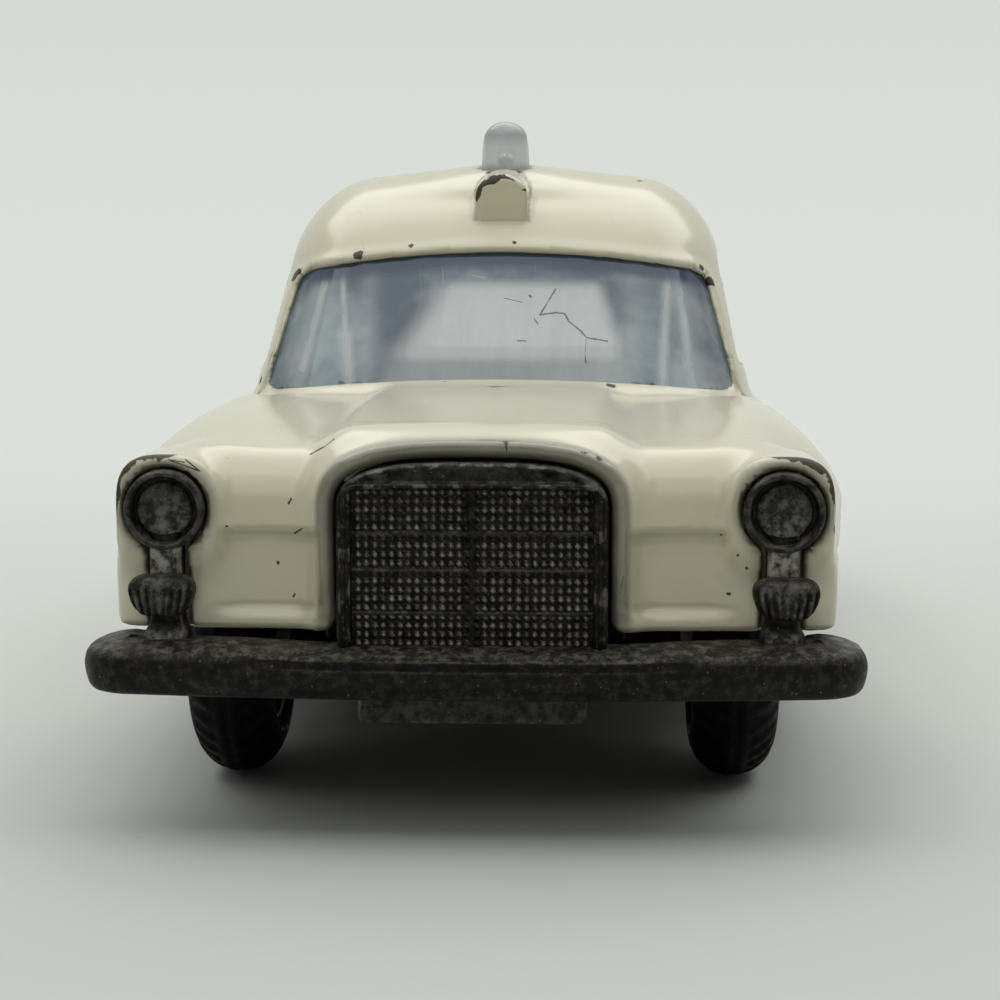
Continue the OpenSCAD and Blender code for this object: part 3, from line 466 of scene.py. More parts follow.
cream_paint, tree, shader = new_material("cream_paint")
colour = mix_colour(tree, ramp(tree, noise(tree, 90.0, 4.0), 0.35, 0.7), CREAM, CREAM_DEEP)
edge = attribute(tree, "edge")
hollow = ramp(tree, math(tree, "MULTIPLY", edge, -1.0), 0.12, 0.7, 0.0, 0.5)
colour = mix_colour(tree, math(tree, "MULTIPLY", hollow, noise(tree, 500.0)), colour, DIRT)
lines = use_group(tree, hairlines, Scale=300.0, Turn=0.7, Width=0.0016)["Mask"]
colour = mix_colour(tree, math(tree, "MULTIPLY", lines, 0.1), colour, DIRT)
uneven = ramp(tree, noise(tree, 380.0, 4.0), 0.2, 0.65, 0.75, 1.0)
# Painted shade and dirt: this mark darkens the grille's lip, the rings round the headlamps and the lowest
# edges.
soot_and_shade = math(tree, "MULTIPLY", attribute(tree, "grime_and_shade"), uneven)
colour = mix_colour(tree, soot_and_shade, colour, SOOT_AND_SHADE)
dots = use_group(tree, specks, Scale=330.0, Share=0.045, Size=0.34)["Mask"]
rub = use_group(tree, rubbed_edges, Edge=edge, Amount=0.34, Scale=700.0)["Mask"]
torn = math(tree, "MULTIPLY", math(tree, "SUBTRACT", noise(tree, 1300.0, 4.0, 0.6), 0.5), 0.45)
chipped = ramp(tree, math(tree, "ADD", attribute(tree, "chip"), torn), 0.48, 0.53)
nose_scratches = [
    (-10.88, 13.69, -9.75, 13.29, 0.025), (-10.88, 13.69, -10.3, 13.6, 0.02),
    (-10.28, 13.7, -9.75, 13.29, 0.02), (-5.98, 13.77, -5.45, 14.05, 0.03),
    (-5.45, 14.05, -5.09, 14.33, 0.02), (-6.47, 10.98, -6.14, 11.2, 0.04),
    (-6.64, 12.1, -6.54, 12.25, 0.05), (5.36, 9.64, 5.26, 9.02, 0.015),
    (8.85, 11.02, 8.87, 11.02, 0.06), (9.77, 9.85, 9.78, 9.83, 0.06),
    (9.13, 8.87, 9.2, 8.87, 0.06), (9.43, 10.33, 9.45, 10.33, 0.04),
    (-7.1, 9.9, -7.1, 9.88, 0.05), (-8.9, 11.25, -8.87, 11.25, 0.04),
    (-6.5, 8.75, -6.55, 8.65, 0.05), (12.88, 11.35, 12.9, 11.2, 0.1),
]
cuts = scratches(tree, nose_scratches, -28.0)
bare = math(tree, "MAXIMUM", math(tree, "MAXIMUM", math(tree, "MULTIPLY", dots, 0.85), rub), chipped)
over_lamps = use_group(tree, arc_chip, X=LAMP_X * MM, Z=LAMP_Z * MM, Across=POD_HALF * MM,
                       Up=POD_RISE * MM, Power=3.0, Mirror=1.0, From=-0.2, To=1.85,
                       Width=0.2 * MM)["Mask"]
over_lamps = math(tree, "MULTIPLY", over_lamps, ahead_of(tree, -34.05))
worn_r = (SPOT_R - 0.08) * MM
on_housing = use_group(tree, arc_chip, X=0.0, Z=SPOT_Z * MM, Across=worn_r, Up=worn_r, Power=2.0,
                       Mirror=0.0, From=0.95, To=3.15, Width=0.24 * MM)["Mask"]
on_housing = math(tree, "MULTIPLY", on_housing, ahead_of(tree, -8.95))
cuts = math(tree, "MAXIMUM", cuts, math(tree, "MAXIMUM", over_lamps, on_housing))
bare = math(tree, "MAXIMUM", bare, cuts)
colour = mix_colour(tree, bare, colour, mix_colour(tree, noise(tree, 2600.0), BARE, BARE_PALE))
rough = ramp(tree, bare, 0.0, 1.0, 0.2, 0.55)
rough = math(tree, "ADD", rough, math(tree, "MULTIPLY", noise(tree, 160.0, 3.0), 0.05))
dents = math(tree, "SUBTRACT", math(tree, "MULTIPLY", noise(tree, 150.0, 1.0), 0.3), bare)
fill(tree, shader, {"Base Color": colour, "Roughness": rough, "Normal": bumps(tree, dents, 0.2, 0.06),
                    "Coat Weight": ramp(tree, bare, 0.0, 1.0, 0.35, 0.0), "Coat Roughness": 0.1})
print("cream_paint:", len(tree.nodes), "nodes")

# %% [markdown]
# The base is bare zinc that has gone nearly black, with dust on the faces that look up. Handling has
# rubbed its outer edges back to grey, and a few crystals of clean metal glint on it. A pale colour
# marks hammered metal on the lamp stems and is painted on the grille's stud tips and the lower part
# of the headlamp lenses as highlights.

# %% Dark zinc
OXIDE, OXIDE_PALE = (0.0028, 0.0024, 0.002), (0.036, 0.031, 0.023)
RUBBED, DUST, CLEAN_AND_HIGHLIGHT = (0.20, 0.19, 0.175), (0.15, 0.14, 0.108), (0.44, 0.425, 0.365)

dark_zinc, tree, shader = new_material("dark_zinc")
edge = attribute(tree, "edge")
mottled = ramp(tree, noise(tree, 2400.0, 6.0, 0.75), 0.44, 0.68)
colour = mix_colour(tree, mottled, OXIDE, OXIDE_PALE)
rub = use_group(tree, rubbed_edges, Edge=edge, Amount=0.5, Scale=1300.0)["Mask"]
glint = use_group(tree, specks, Scale=7000.0, Share=0.07, Size=0.5)["Mask"]
worn = math(tree, "MAXIMUM", math(tree, "MULTIPLY", rub, 0.75), math(tree, "MULTIPLY", glint, 0.45))
colour = mix_colour(tree, worn, colour, RUBBED)
upward = node(tree, "SeparateXYZ", {0: node(tree, "NewGeometry").outputs["Normal"]}).outputs["Z"]
grains = ramp(tree, noise(tree, 2600.0, 6.0, 0.8), 0.44, 0.62, 0.05, 1.0)
dusty = math(tree, "MULTIPLY", ramp(tree, upward, 0.25, 0.8), grains)
colour = mix_colour(tree, math(tree, "MULTIPLY", dusty, 0.7), colour, DUST)
# Pale flecks: clean metal where the lamp stems are hammered, and painted highlights on the grille's stud
# tips and the headlamp lenses.
flecks = ramp(tree, noise(tree, 2200.0, 5.0, 0.7), 0.4, 0.62, 0.08, 1.0)
pale = math(tree, "MULTIPLY", attribute(tree, "pale"), flecks)
colour = mix_colour(tree, pale, colour, CLEAN_AND_HIGHLIGHT)
fill(tree, shader, {"Base Color": colour, "Specular IOR Level": 0.2,
                    "Roughness": ramp(tree, noise(tree, 900.0, 4.0), 0.3, 0.7, 0.34, 0.58),
                    "Metallic": ramp(tree, worn, 0.0, 1.0, 0.05, 0.8),
                    "Normal": bumps(tree, noise(tree, 1900.0, 6.0, 0.7), 0.8, 0.12)})
print("dark_zinc:", len(tree.nodes), "nodes")

# %% [markdown]
# The windows are one clear blue moulding. Sixty years of handling have left it hazy, so half of its
# light is scattered instead of passing through, and it looks whiter where it is rubbed. The whiter
# streaks near both sides of the windscreen are painted reflections where the moulding bends, its
# whitish middle is painted light from the tailgate's window behind it, and the dark band under its
# head is painted shade.

# %% Clear blue plastic
GLASS_DEEP, GLASS_PALE, HAZE_AND_GLARE = (0.15, 0.22, 0.28), (0.52, 0.63, 0.67), (0.96, 0.99, 0.985)
HEADER_SHADE_TINT, CUT = (0.055, 0.095, 0.19), (0.05, 0.06, 0.06)

clear_blue, tree, shader = new_material("clear_blue")
lines = use_group(tree, hairlines, Scale=520.0, Turn=1.1, Width=0.003)["Mask"]
brushed = stretched(tree, (1.0, 0.2, 0.2))
# Painted reflections: whitish bands near both sides of the windscreen, where the moulding bends.
bend_reflections = [(-6.6, 15.2, -7.05, 17.3, 0.5), (-7.05, 17.3, -7.45, 20.0, 0.22),
                 (7.42, 15.2, 7.6, 17.6, 0.36), (7.6, 17.6, 7.85, 20.2, 0.36),
                 (-9.0, 15.8, -8.3, 19.6, 0.45), (8.7, 16.0, 8.4, 19.4, 0.4)]
bend_glare = scratches(tree, bend_reflections, -8.0, 1.0)
patchy = ramp(tree, noise(tree, 1500.0, 3.0, 0.6, brushed), 0.3, 0.6, 0.6, 1.0)
bend_glare = math(tree, "MULTIPLY", bend_glare, patchy)
patchy = ramp(tree, noise(tree, 1100.0, 5.0, 0.7, brushed), 0.25, 0.65, 0.85, 1.0)
scuff_and_glare = math(tree, "MULTIPLY", attribute(tree, "scuff_and_glare"), patchy)
bend_glare = math(tree, "MULTIPLY", bend_glare, attribute(tree, "outer"))
scuff_and_glare = math(tree, "MAXIMUM", scuff_and_glare, math(tree, "MULTIPLY", bend_glare, 0.95))
cloudy = ramp(tree, noise(tree, 160.0, 4.0, 0.6), 0.4, 0.68)
colour = mix_colour(tree, cloudy, GLASS_DEEP, GLASS_PALE)
# The colour is whitened by haze and hairlines, and by painted light in the middle and on the bends.
haze_and_glare = math(tree, "MAXIMUM", scuff_and_glare, math(tree, "MULTIPLY", lines, 0.4))
colour = mix_colour(tree, haze_and_glare, colour, HAZE_AND_GLARE)
# Painted shade: the moulding darkens to deep blue under the windscreen's head.
colour = mix_colour(tree, attribute(tree, "header_shade"), colour, HEADER_SHADE_TINT)
crack = [(2.6, 19.41), (1.9, 18.25), (2.63, 18.34), (3.02, 18.3), (3.2, 17.96), (3.77, 17.52),
         (4.01, 17.24), (4.96, 17.07)]
marks = [(*a, *b, 0.035) for a, b in zip(crack[:-1], crack[1:])]
marks += [(4.0, 17.24, 3.95, 16.5, 0.012), (3.95, 16.5, 4.0, 16.14, 0.035),
          (1.62, 18.1, 1.8, 17.85, 0.025), (0.2, 19.0, 1.1, 18.8, 0.02),
          (1.4, 19.1, 1.45, 19.05, 0.05), (0.9, 17.1, 1.3, 17.1, 0.025)]
cuts = math(tree, "MULTIPLY", scratches(tree, marks, -8.0), attribute(tree, "outer"))
colour = mix_colour(tree, math(tree, "MULTIPLY", cuts, 0.85), colour, CUT)
cloud = math(tree, "ADD", math(tree, "MULTIPLY", bend_glare, 0.4), math(tree, "MULTIPLY", lines, 0.2))
fill(tree, shader, {"Base Color": colour, "Roughness": math(tree, "ADD", cloud, 0.04),
                    "Transmission Weight": 0.5, "IOR": 1.46})
print("clear_blue:", len(tree.nodes), "nodes")

# %% [markdown]
# The other finishes are plain: moulded plastics whose colour and gloss vary a little, and drawn
# steel wire with fine lines along it. The steel pieces are simple enough to keep their CAD meshes.

# %% Plastics, tyre and steel
def moulded(name, light, dark, rough_low, rough_high, scale, relief, mirror=0.5):
    """A moulded plastic: two close colours, uneven gloss and a fine skin."""
    material, tree, shader = new_material(name)
    gloss = ramp(tree, noise(tree, 3 * scale, 3.0), 0.3, 0.7, rough_low, rough_high)
    fill(tree, shader, {"Base Color": mix_colour(tree, noise(tree, scale, 4.0), light, dark),
                        "Roughness": gloss, "Specular IOR Level": mirror,
                        "Normal": bumps(tree, noise(tree, 5 * scale, 3.0), relief, 0.05)})
    return material


ivory_plastic = moulded("ivory_plastic", (0.60, 0.82, 0.65), (0.56, 0.78, 0.61), 0.35, 0.5, 300.0, 0.2)
white_plastic = moulded("white_plastic", (0.78, 0.78, 0.75), (0.72, 0.72, 0.68), 0.4, 0.55, 300.0, 0.2)
black_tyre = moulded("black_tyre", (0.001,) * 3, (0.004,) * 3, 0.45, 0.7, 900.0, 0.4, 0.12)
hub_plastic = moulded("hub_plastic", (0.004,) * 3, (0.01,) * 3, 0.3, 0.5, 700.0, 0.2, 0.3)

steel, tree, shader = new_material("steel")
streak = noise(tree, 4000.0, 4.0, 0.6, stretched(tree, (0.05, 1.0, 1.0)))
colour = mix_colour(tree, streak, (0.30, 0.295, 0.29), (0.5, 0.495, 0.49))
fill(tree, shader, {"Base Color": colour, "Roughness": ramp(tree, streak, 0.3, 0.7, 0.28, 0.45),
                    "Metallic": 1.0})
for name in ("front_axle", "rear_axle", "tailgate_hinge_pin", "front_rivet", "rear_rivet"):
    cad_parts[name].data.materials.clear()
    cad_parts[name].data.materials.append(steel)
print("finishes:", [m.name for m in bpy.data.materials])

# %% [markdown]
# ## Main shapes of the body
# The body is two soft blocks: a long one for the bonnet, doors and tail, and a raised cabin on it.
# Each is the overlap of a few gently curved faces (sides, top, nose, tail) with rounded edges,
# which is how a pattern maker would carve it. All the faces are distances in millimetres, so their
# edges can be rounded by radius.

# %% Sizes of the body
NOSE_Y, TAIL_Y = -34.2, 34.7
VALANCE_Z, SILL_Z, ROOF_Z = 7.5, 4.8, 25.2
BEACON_Y, BEACON_R = -4.0, 1.18
FRONT_AXLE_Y, REAR_AXLE_Y, AXLE_Z = -24.4, 16.6, 5.2
HINGE_Y, HINGE_Z = 31.08, 22.2
WALL, CABIN_WALL = 1.2, 0.9
ARCH_R, INNER_X = 6.0, 7.8  # wheel arches, and half the space between the wheels
GRILLE_SHOULDER = 11.9
RIM_HALF, RIM_TOP = 5.5, 14.42
OPENING_HALF, OPENING_TOP = 4.93, 13.8


def bonnet_top(x, y):
    """Height of the bonnet: it climbs from the nose to the windscreen, with a raised middle that starts as
    the grille's arch and a low crest on each wing."""
    ahead = np.clip((y + 34.6) / 17.5, 0, 1)
    base = 13.75 + 0.95 * (1 - (1 - ahead) ** 2)
    half = 4.9 - 0.4 * ahead
    middle = (0.72 - 0.1 * ahead) * (1 - smooth((np.abs(x) - half + 0.4) / 1.9))
    crest = 0.22 * np.exp(-((np.abs(x) - 10.6) / 1.5) ** 2)
    return base + middle + crest


def lower_body(x, y, z):
    """Bonnet, wings, doors and tail: sides that swell in plan, a top, a bowed nose with a hollow panel
    beside the grille, and a tail."""
    side_x = 13.1 + 1.4 * smooth((y + 32.5) / 9) - 1.5 * smooth((y - 15) / 20.5)
    side = np.abs(x) - side_x + 0.43 * (np.maximum(10 - z, 0) / 5.2) ** 2
    cowl = 15.0 - 0.45 * smooth((np.abs(x) - 6) / 4)
    top = z - bonnet_top(x, y) - (cowl - bonnet_top(x, y)) * smooth((y + 16.5) / 4)
    panel = smooth((np.abs(x) - 4.9) / 0.6) * smooth((10.1 - np.abs(x)) / 2.0)
    hollow = 0.42 * panel * smooth((11.35 - z) / 0.5) * smooth((z - 7.85) / 0.6)
    nose = NOSE_Y + 0.4 * (x / 11) ** 2 + hollow - y
    tail = y - TAIL_Y
    block = round_max(side, top, 4.4)
    corner = 2.0 - 0.8 * smooth((np.abs(x) - 11.3) / 1.2) * smooth((11.5 - z) / 1.5)
    return round_max(round_max(block, nose, corner), tail, 2.0)


def cabin(x, y, z):
    """Cabin: leaning sides, a crowned roof, a bowed windscreen that leans back and an upright tail."""
    taper = 1 - 0.015 * smooth((-5 - y) / 10) - 0.05 * smooth((y - 5) / 28)
    up = np.maximum(z - 13.4, 0)
    side = (np.abs(x) - taper * (12.05 - 0.2065 * up)) * 0.98
    roof = z - ROOF_Z + 0.0079 * x ** 2
    screen = (-17.1 + 0.857 * up + 2.0 * (x / 8.8) ** 2 - y) * 0.75
    tail = (y - 34.3 + 0.245 * up) * 0.97
    ends = round_max(round_max(screen, roof, 3.6), tail, 4.2)
    return round_max(ends, side, 2.9 - 0.5 * smooth((y - 20) / 10))


def outer_skin(x, y, z):
    """Both blocks with a small fillet at the cabin's foot."""
    return round_min(lower_body(x, y, z), cabin(x, y, z), 0.5)


def arch(x, z, half, shoulder, top):
    """Distance from the grille's outline: upright sides and a squarish arch of power three. The level is
    divided by its slope to make it a distance."""
    a = np.abs(x) / half
    b = np.maximum(z - shoulder, 0) / (top - shoulder)
    s = np.maximum(a ** 3 + b ** 3, 1e-6)
    level = np.cbrt(s) - 1
    steep = np.hypot(a ** 2 / half, b ** 2 / (top - shoulder)) / np.cbrt(s) ** 2
    return level / np.maximum(steep, 0.05)


print("roof at", ROOF_Z, "mm")

# %% [markdown]
# ## Openings
# Every window is a flat outline that is carried through the wall. The windscreen's outline is seen
# from the front, the side windows' from the side.

# %% Openings
def screen_outline(x, z):
    """Windscreen seen from the front: a slightly arched foot and head between leaning sides."""
    foot = 14.75 + 0.7 * (1 - (x / 10.8) ** 2) - z
    head = z - 20.2 - 0.85 * (1 - (x / 9.25) ** 2)
    side = (np.abs(x) - 10.8 + 0.2404 * (z - 15.0)) * 0.97
    return round_max(round_max(foot, head, 0.5), side, 0.7)


SIDE_FOOT, SIDE_HEAD = 15.9, 21.0
SIDE_WINDOWS = ((-9.6, -0.4, 0.92), (0.8, 11.0, 0.0), (12.2, 27.2, 0.0))  # front, rear and lean


def side_windows(x, y, z):
    """The windows of each side as seen from there, with an upright or leaning front edge."""
    cut = np.inf
    for front, rear, lean in SIDE_WINDOWS:
        ahead = (front + lean * (z - SIDE_FOOT) - y) / np.hypot(1, lean)
        pane = round_max(round_max(ahead, y - rear, 0.6), between(z, SIDE_FOOT, SIDE_HEAD), 0.6)
        cut = np.minimum(cut, pane)
    return np.maximum(cut, 6.0 - np.abs(x))


def wheel_space(x, y, z):
    """Round wheel arches outside the space between the wheels."""
    front = np.hypot(y - FRONT_AXLE_Y, z - AXLE_Z)
    rear = np.hypot(y - REAR_AXLE_Y, z - AXLE_Z)
    return np.maximum(np.minimum(front, rear) - ARCH_R, INNER_X - np.abs(x))


GATE_HALF, GATE_FOOT, GATE_GAP = 7.0, 8.95, 0.15


def gate_space(x, y, z):
    """The tailgate's opening, with a round relief for its rolled top edge."""
    half = GATE_HALF + GATE_GAP
    plate = np.maximum(between(z, GATE_FOOT - GATE_GAP, HINGE_Z), HINGE_Y - 3 - y)
    relief = np.hypot(y - HINGE_Y, z - HINGE_Z) - 1.35
    return np.maximum(np.minimum(plate, relief), np.abs(x) - half)


print("windows in each side:", len(SIDE_WINDOWS))

# %% [markdown]
# ## Body casting
# The skin gets its wall thickness by taking away the same shape moved inwards. Headlamp pods, the
# rim of the grille and the roof lamp's housing are joined with fillets before the openings are cut.

# %% Body field
def lamp_pod(x, z):
    """Pod seen from the front: a squarish arch over the lamp, straight below its middle."""
    return arch(np.abs(x) - LAMP_X, z, POD_HALF, LAMP_Z, LAMP_Z + POD_RISE)


def front_forms(skin, x, y, z):
    """The skin with the grille's rim, the headlamp pods and the roof lamp's housing joined to it by
    fillets, a swell of the roof round the beacon and a low bead round the windscreen."""
    face = NOSE_Y - 0.1 - 0.65 * smooth((z - 7.6) / 2.8) - y
    rim = round_max(arch(x, z, RIM_HALF, GRILLE_SHOULDER, RIM_TOP), face, 0.25)
    rim = np.maximum(np.maximum(rim, y + 32.0), VALANCE_Z - 1 - z)
    face = NOSE_Y - 0.25 + 1.3 * smooth((11.0 - z) / 2.2) - y
    pods = np.maximum(round_max(lamp_pod(x, z), face, 0.3), y + 31.0)
    spot = np.hypot(x, np.maximum(z - SPOT_Z, 0)) - SPOT_R
    spot = np.maximum(round_max(round_max(spot, 22.6 - z, 0.15), -9.2 - y, 0.2), y + 4)
    for form, fillet in ((rim, 1.1), (pods, 0.7), (spot, 0.25)):
        skin = round_min(skin, form, fillet)
    from_swell = np.hypot(x, y - BEACON_Y + 0.9)
    skin = skin - 0.46 * np.exp(-(from_swell / 3.3) ** 2) * smooth((z - 23.4) / 0.8)
    bead = 0.12 * np.exp(-((screen_outline(x, z) - 0.35) / 0.3) ** 2) * smooth((-4 - y) / 2)
    return skin - bead * smooth((z - 14.9) / 0.8)


def door_line(x, y, z):
    """A shallow groove along the front doors' edges, below the windows."""
    line = np.abs(round_max(between(y, -11.2, 0.2), between(z, 5.6, 24.0), 0.9)) - 0.2
    return np.maximum(np.maximum(line, -outer_skin(x, y, z) - 0.16), z - 15.7)


def gate_stop(hollow, x, y, z):
    """Strips inside the tail that close the gap beside the tailgate, with the arms that carry them."""
    stop = np.maximum(between(-hollow, 0.25, 0.95), between(np.abs(x), 6.72, 7.8))
    arm = np.maximum(between(-hollow, -0.3, 0.95), between(np.abs(x), 7.35, 7.8))
    return np.maximum(np.minimum(stop, arm), np.maximum(between(z, 9.2, 20.6), 30.0 - y))


def lamp_pocket(x, y, z):
    """The round seat of each headlamp and the slot of its stem below it."""
    seat = np.hypot(np.abs(x) - LAMP_X, z - LAMP_Z) - 1.53
    slot = np.maximum(np.abs(np.abs(x) - LAMP_X) - 0.76, z - LAMP_Z)
    return np.maximum(np.minimum(seat, slot), y - NOSE_Y - 0.8)


def body_field(x, y, z):
    """Distance from the body casting: the wall, what stands on it and what is cut from it, in turn."""
    skin = front_forms(outer_skin(x, y, z), x, y, z)
    hollow = round_min(lower_body(x, y, z) + WALL, cabin(x, y, z) + CABIN_WALL, 0.3)
    lugs = soft_box(np.abs(x), y, z, (7.15, 30.19, 21.47), (8.45, 31.29, 22.94), 0.1)
    shell = np.minimum(round_max(skin, -hollow, 0.1), lugs)
    posts = np.minimum(np.hypot(x, y + 29.6), np.hypot(x, y - 30.1)) - 1.7
    posts = np.maximum(posts, np.maximum(5.65 - z, z - np.where(y < 0, 14.5, 8.5)))
    shell = np.minimum(shell, posts)
    windscreen = np.maximum(screen_outline(x, z), y + 4.9)
    shell = round_max(shell, -np.minimum(windscreen, side_windows(x, y, z)), 0.28)
    under = np.where((y < FRONT_AXLE_Y) | (y > REAR_AXLE_Y), VALANCE_Z, SILL_Z) - z
    shell = round_max(shell, under, 0.25)
    shell = round_max(shell, -wheel_space(x, y, z), 0.3)
    shell = round_max(shell, -door_line(x, y, z), 0.16)
    handle = soft_box(np.abs(x), y, z, (13.6, -2.6, 11.2), (14.55, -0.7, 11.6), 0.15)
    shell = np.minimum(shell, handle)
    tail_lamp = soft_box(np.abs(x), y, z, (8.9, 33.4, 9.4), (11.4, 34.95, 11.0), 0.3)
    shell = round_min(shell, tail_lamp, 0.15)
    shell = round_max(shell, -gate_space(x, y, z), 0.28)
    shell = np.minimum(shell, gate_stop(hollow, x, y, z))
    grille = np.maximum(arch(x, z, OPENING_HALF, GRILLE_SHOULDER, OPENING_TOP), y + 28)
    shell = round_max(shell, -grille, 0.5)
    shell = round_max(shell, -lamp_pocket(x, y, z), 0.12)
    beacon_hole = np.maximum(np.hypot(x, y - BEACON_Y) - 1.25, 20 - z)
    return round_max(shell, -beacon_hole, 0.15)


# %% [markdown]
# The grid is finest at the front, which is seen closest, and across the low edge of the nose.

# %% Body mesh
body_axes = [
    samples((-15.1, 15.1, 0.27)),
    samples((-35.8, -2.0, 0.26), (-2.0, 29.0, 0.6), (29.0, 35.6, 0.3)),
    samples((4.3, 7.2, 0.28), (7.2, 9.0, 0.16), (9.0, 25.8, 0.28)),
]
body_mesh, body_points = cast_mesh("body_skin", body_field, body_axes)
print("body grid", [len(a) for a in body_axes], "triangles", 2 * len(body_mesh.polygons))

# %% [markdown]
# Paint comes off in places that knock against other toys. Each chip here is a soft spot on the
# body's points; the paint's noise tears its outline. The long chips over the headlamps and on the
# lamp housing's edge are narrower than the body's own mesh, so the paint draws those itself.

# %% Chips
def chip_map(points):
    """Chip strength at each point, from a list of single spots as place, radius and strength."""
    x, y, z = points.T
    chip = np.zeros_like(x)
    spots = np.array([
        [1.05, -9.15, 23.9, 0.22, 0.9], [-9.86, -7.7, 19.97, 0.5, 0.9], [-10.92, -8.2, 17.5, 0.35, 0.85],
        [-11.25, -10.3, 15.1, 0.3, 0.85], [-6.68, -9.5, 20.9, 0.42, 0.85], [-4.2, -9.85, 21.3, 0.28, 0.85],
        [0.67, -10.2, 21.46, 0.25, 0.8], [9.39, -8.15, 20.3, 0.35, 0.85], [9.85, -8.1, 19.7, 0.4, 0.9],
        [11.2, -7.5, 17.2, 0.5, 0.9], [11.18, -8.5, 16.6, 0.45, 0.9], [11.44, -8.2, 16.0, 0.5, 0.9],
        [5.11, -15.0, 15.25, 0.35, 0.9], [-2.26, -15.4, 15.45, 0.22, 0.8], [6.57, -3.4, 24.6, 0.26, 0.85],
        [5.91, -7.7, 22.8, 0.22, 0.65], [-2.43, -32.7, 14.6, 0.2, 0.8], [-8.92, -33.1, 13.55, 0.2, 0.8],
        [1.17, -34.7, 14.45, 0.26, 0.85], [0.5, -34.85, 14.1, 0.17, 0.85], [1.2, -34.85, 14.1, 0.17, 0.85],
        [3.98, -34.8, 14.1, 0.22, 0.85], [4.5, -34.75, 13.9, 0.25, 0.85], [12.4, -13.0, 14.5, 0.5, 0.85],
        [-12.4, -13.5, 14.5, 0.45, 0.85], [14.0, -20.0, 13.2, 0.4, 0.85], [-13.9, -14.0, 13.4, 0.4, 0.8],
        [13.6, 20.0, 12.0, 0.4, 0.85], [-13.2, 31.0, 12.5, 0.5, 0.85], [12.5, 33.6, 12.8, 0.5, 0.85],
        [-9.6, 12.0, 23.2, 0.4, 0.8], [9.4, 3.0, 23.6, 0.4, 0.8], [-14.3, -2.0, 9.0, 0.35, 0.8],
        [14.4, 6.0, 5.4, 0.45, 0.85],
    ])
    for px, py, pz, radius, strength in spots:
        away = (x - px) ** 2 + (y - py) ** 2 + (z - pz) ** 2
        chip = np.maximum(chip, strength * np.exp(-away / radius ** 2))
    return chip


def grime_and_shade_map(points):
    """Soft darkening at each point, dirt and painted shade together: the grille's lip, round the headlamps
    and along the lowest edges.
    """
    x, y, z = points.T
    lip = arch(x, z, 5.6, GRILLE_SHOULDER, 14.5)
    arched = (0.7 + 0.2 * smooth((-0.2 - lip) / 0.4)) * smooth((0.1 - lip) / 0.2)
    arched = arched * smooth((-33.9 - y) / 0.4)
    from_lamp = np.hypot(np.abs(x) - LAMP_X, z - LAMP_Z)
    brow = 0.75 * smooth((2.0 - from_lamp) / 0.4) * smooth((-33.8 - y) / 0.3)
    low = 0.25 * smooth((SILL_Z + 0.5 - z) / 0.5)
    return np.maximum(np.maximum(arched, brow), low)


def points_of(mesh):
    """A mesh's points in millimetres."""
    flat = np.empty(3 * len(mesh.vertices), dtype=np.float32)
    mesh.vertices.foreach_get("co", flat)
    return flat.reshape(-1, 3) / MM


def mark(mesh, name, values):
    """Keep a number at each point of a mesh for the finishes to read."""
    kept = mesh.attributes.new(name, "FLOAT", "POINT")
    kept.data.foreach_set("value", np.asarray(values, dtype=np.float32))


mark(body_mesh, "chip", chip_map(body_points))
mark(body_mesh, "grime_and_shade", grime_and_shade_map(body_points))
add_piece(body_mesh, "car", "cream_paint", cream_paint, "body_shell")

# %% [markdown]
# ## Tailgate
# The tailgate is the piece of the same skin that lies inside the opening, with a rolled edge round
# its pin. Its pane is a sheet of the same inner form, set against the skin from inside.

# %% Tailgate
PANE_FOOT, PANE_HEAD = 14.3, 19.4


def gate_window(x, z, grow=0.0):
    """The tailgate's window seen from behind: narrower at its head."""
    half = 6.2 - 1.4 * (z - PANE_FOOT) / 5.1
    upright = between(z, PANE_FOOT - grow, PANE_HEAD + grow)
    return round_max((np.abs(x) - half) * 0.96 - grow, upright, 0.6)


def tailgate_field(x, y, z):
    """Distance from the tailgate."""
    hollow = np.minimum(lower_body(x, y, z) + WALL, cabin(x, y, z) + CABIN_WALL)
    plate = round_max(outer_skin(x, y, z), -hollow, 0.1)
    plate = round_max(plate, np.maximum(between(z, GATE_FOOT, HINGE_Z), HINGE_Y - 0.6 - y), 0.12)
    from_pin = np.hypot(y - HINGE_Y, z - HINGE_Z)
    panel = between(z, 9.9, 12.9)
    groove = np.abs(round_max(np.abs(x) - 5.9, panel, 0.8)) - 0.14
    plate = round_max(plate, -np.maximum(groove, -outer_skin(x, y, z) - 0.14), 0.08)
    plate = round_min(plate, from_pin - 1.05, 0.2)
    plate = round_max(plate, np.abs(x) - GATE_HALF, 0.12)
    plate = round_max(plate, -gate_window(x, z), 0.15)
    return round_max(plate, 0.45 - from_pin, 0.05)


gate_axes = [samples((-7.4, 7.4, 0.2)), samples((29.6, 35.1, 0.2)), samples((8.5, 23.6, 0.2))]
gate_mesh, gate_points = cast_mesh("tailgate_skin", tailgate_field, gate_axes)
mark(gate_mesh, "chip", chip_map(gate_points))
add_piece(gate_mesh, "tailgate", "cream_paint", cream_paint, "tailgate")


def pane_field(x, y, z):
    """Distance from the tailgate's pane."""
    sheet = np.abs(cabin(x, y, z) + CABIN_WALL + 0.55) - 0.4
    return np.maximum(round_max(sheet, gate_window(x, z, 0.4), 0.12), 29.5 - y)


pane_axes = [samples((-7.2, 7.2, 0.25)), samples((29.0, 34.4, 0.2)), samples((13.5, 20.4, 0.25))]
pane_mesh, _ = cast_mesh("tailgate_pane", pane_field, pane_axes)
mark(pane_mesh, "scuff_and_glare", np.full(len(pane_mesh.vertices), 0.95))
add_piece(pane_mesh, "tailgate", "clear_blue", clear_blue, "tailgate_window")

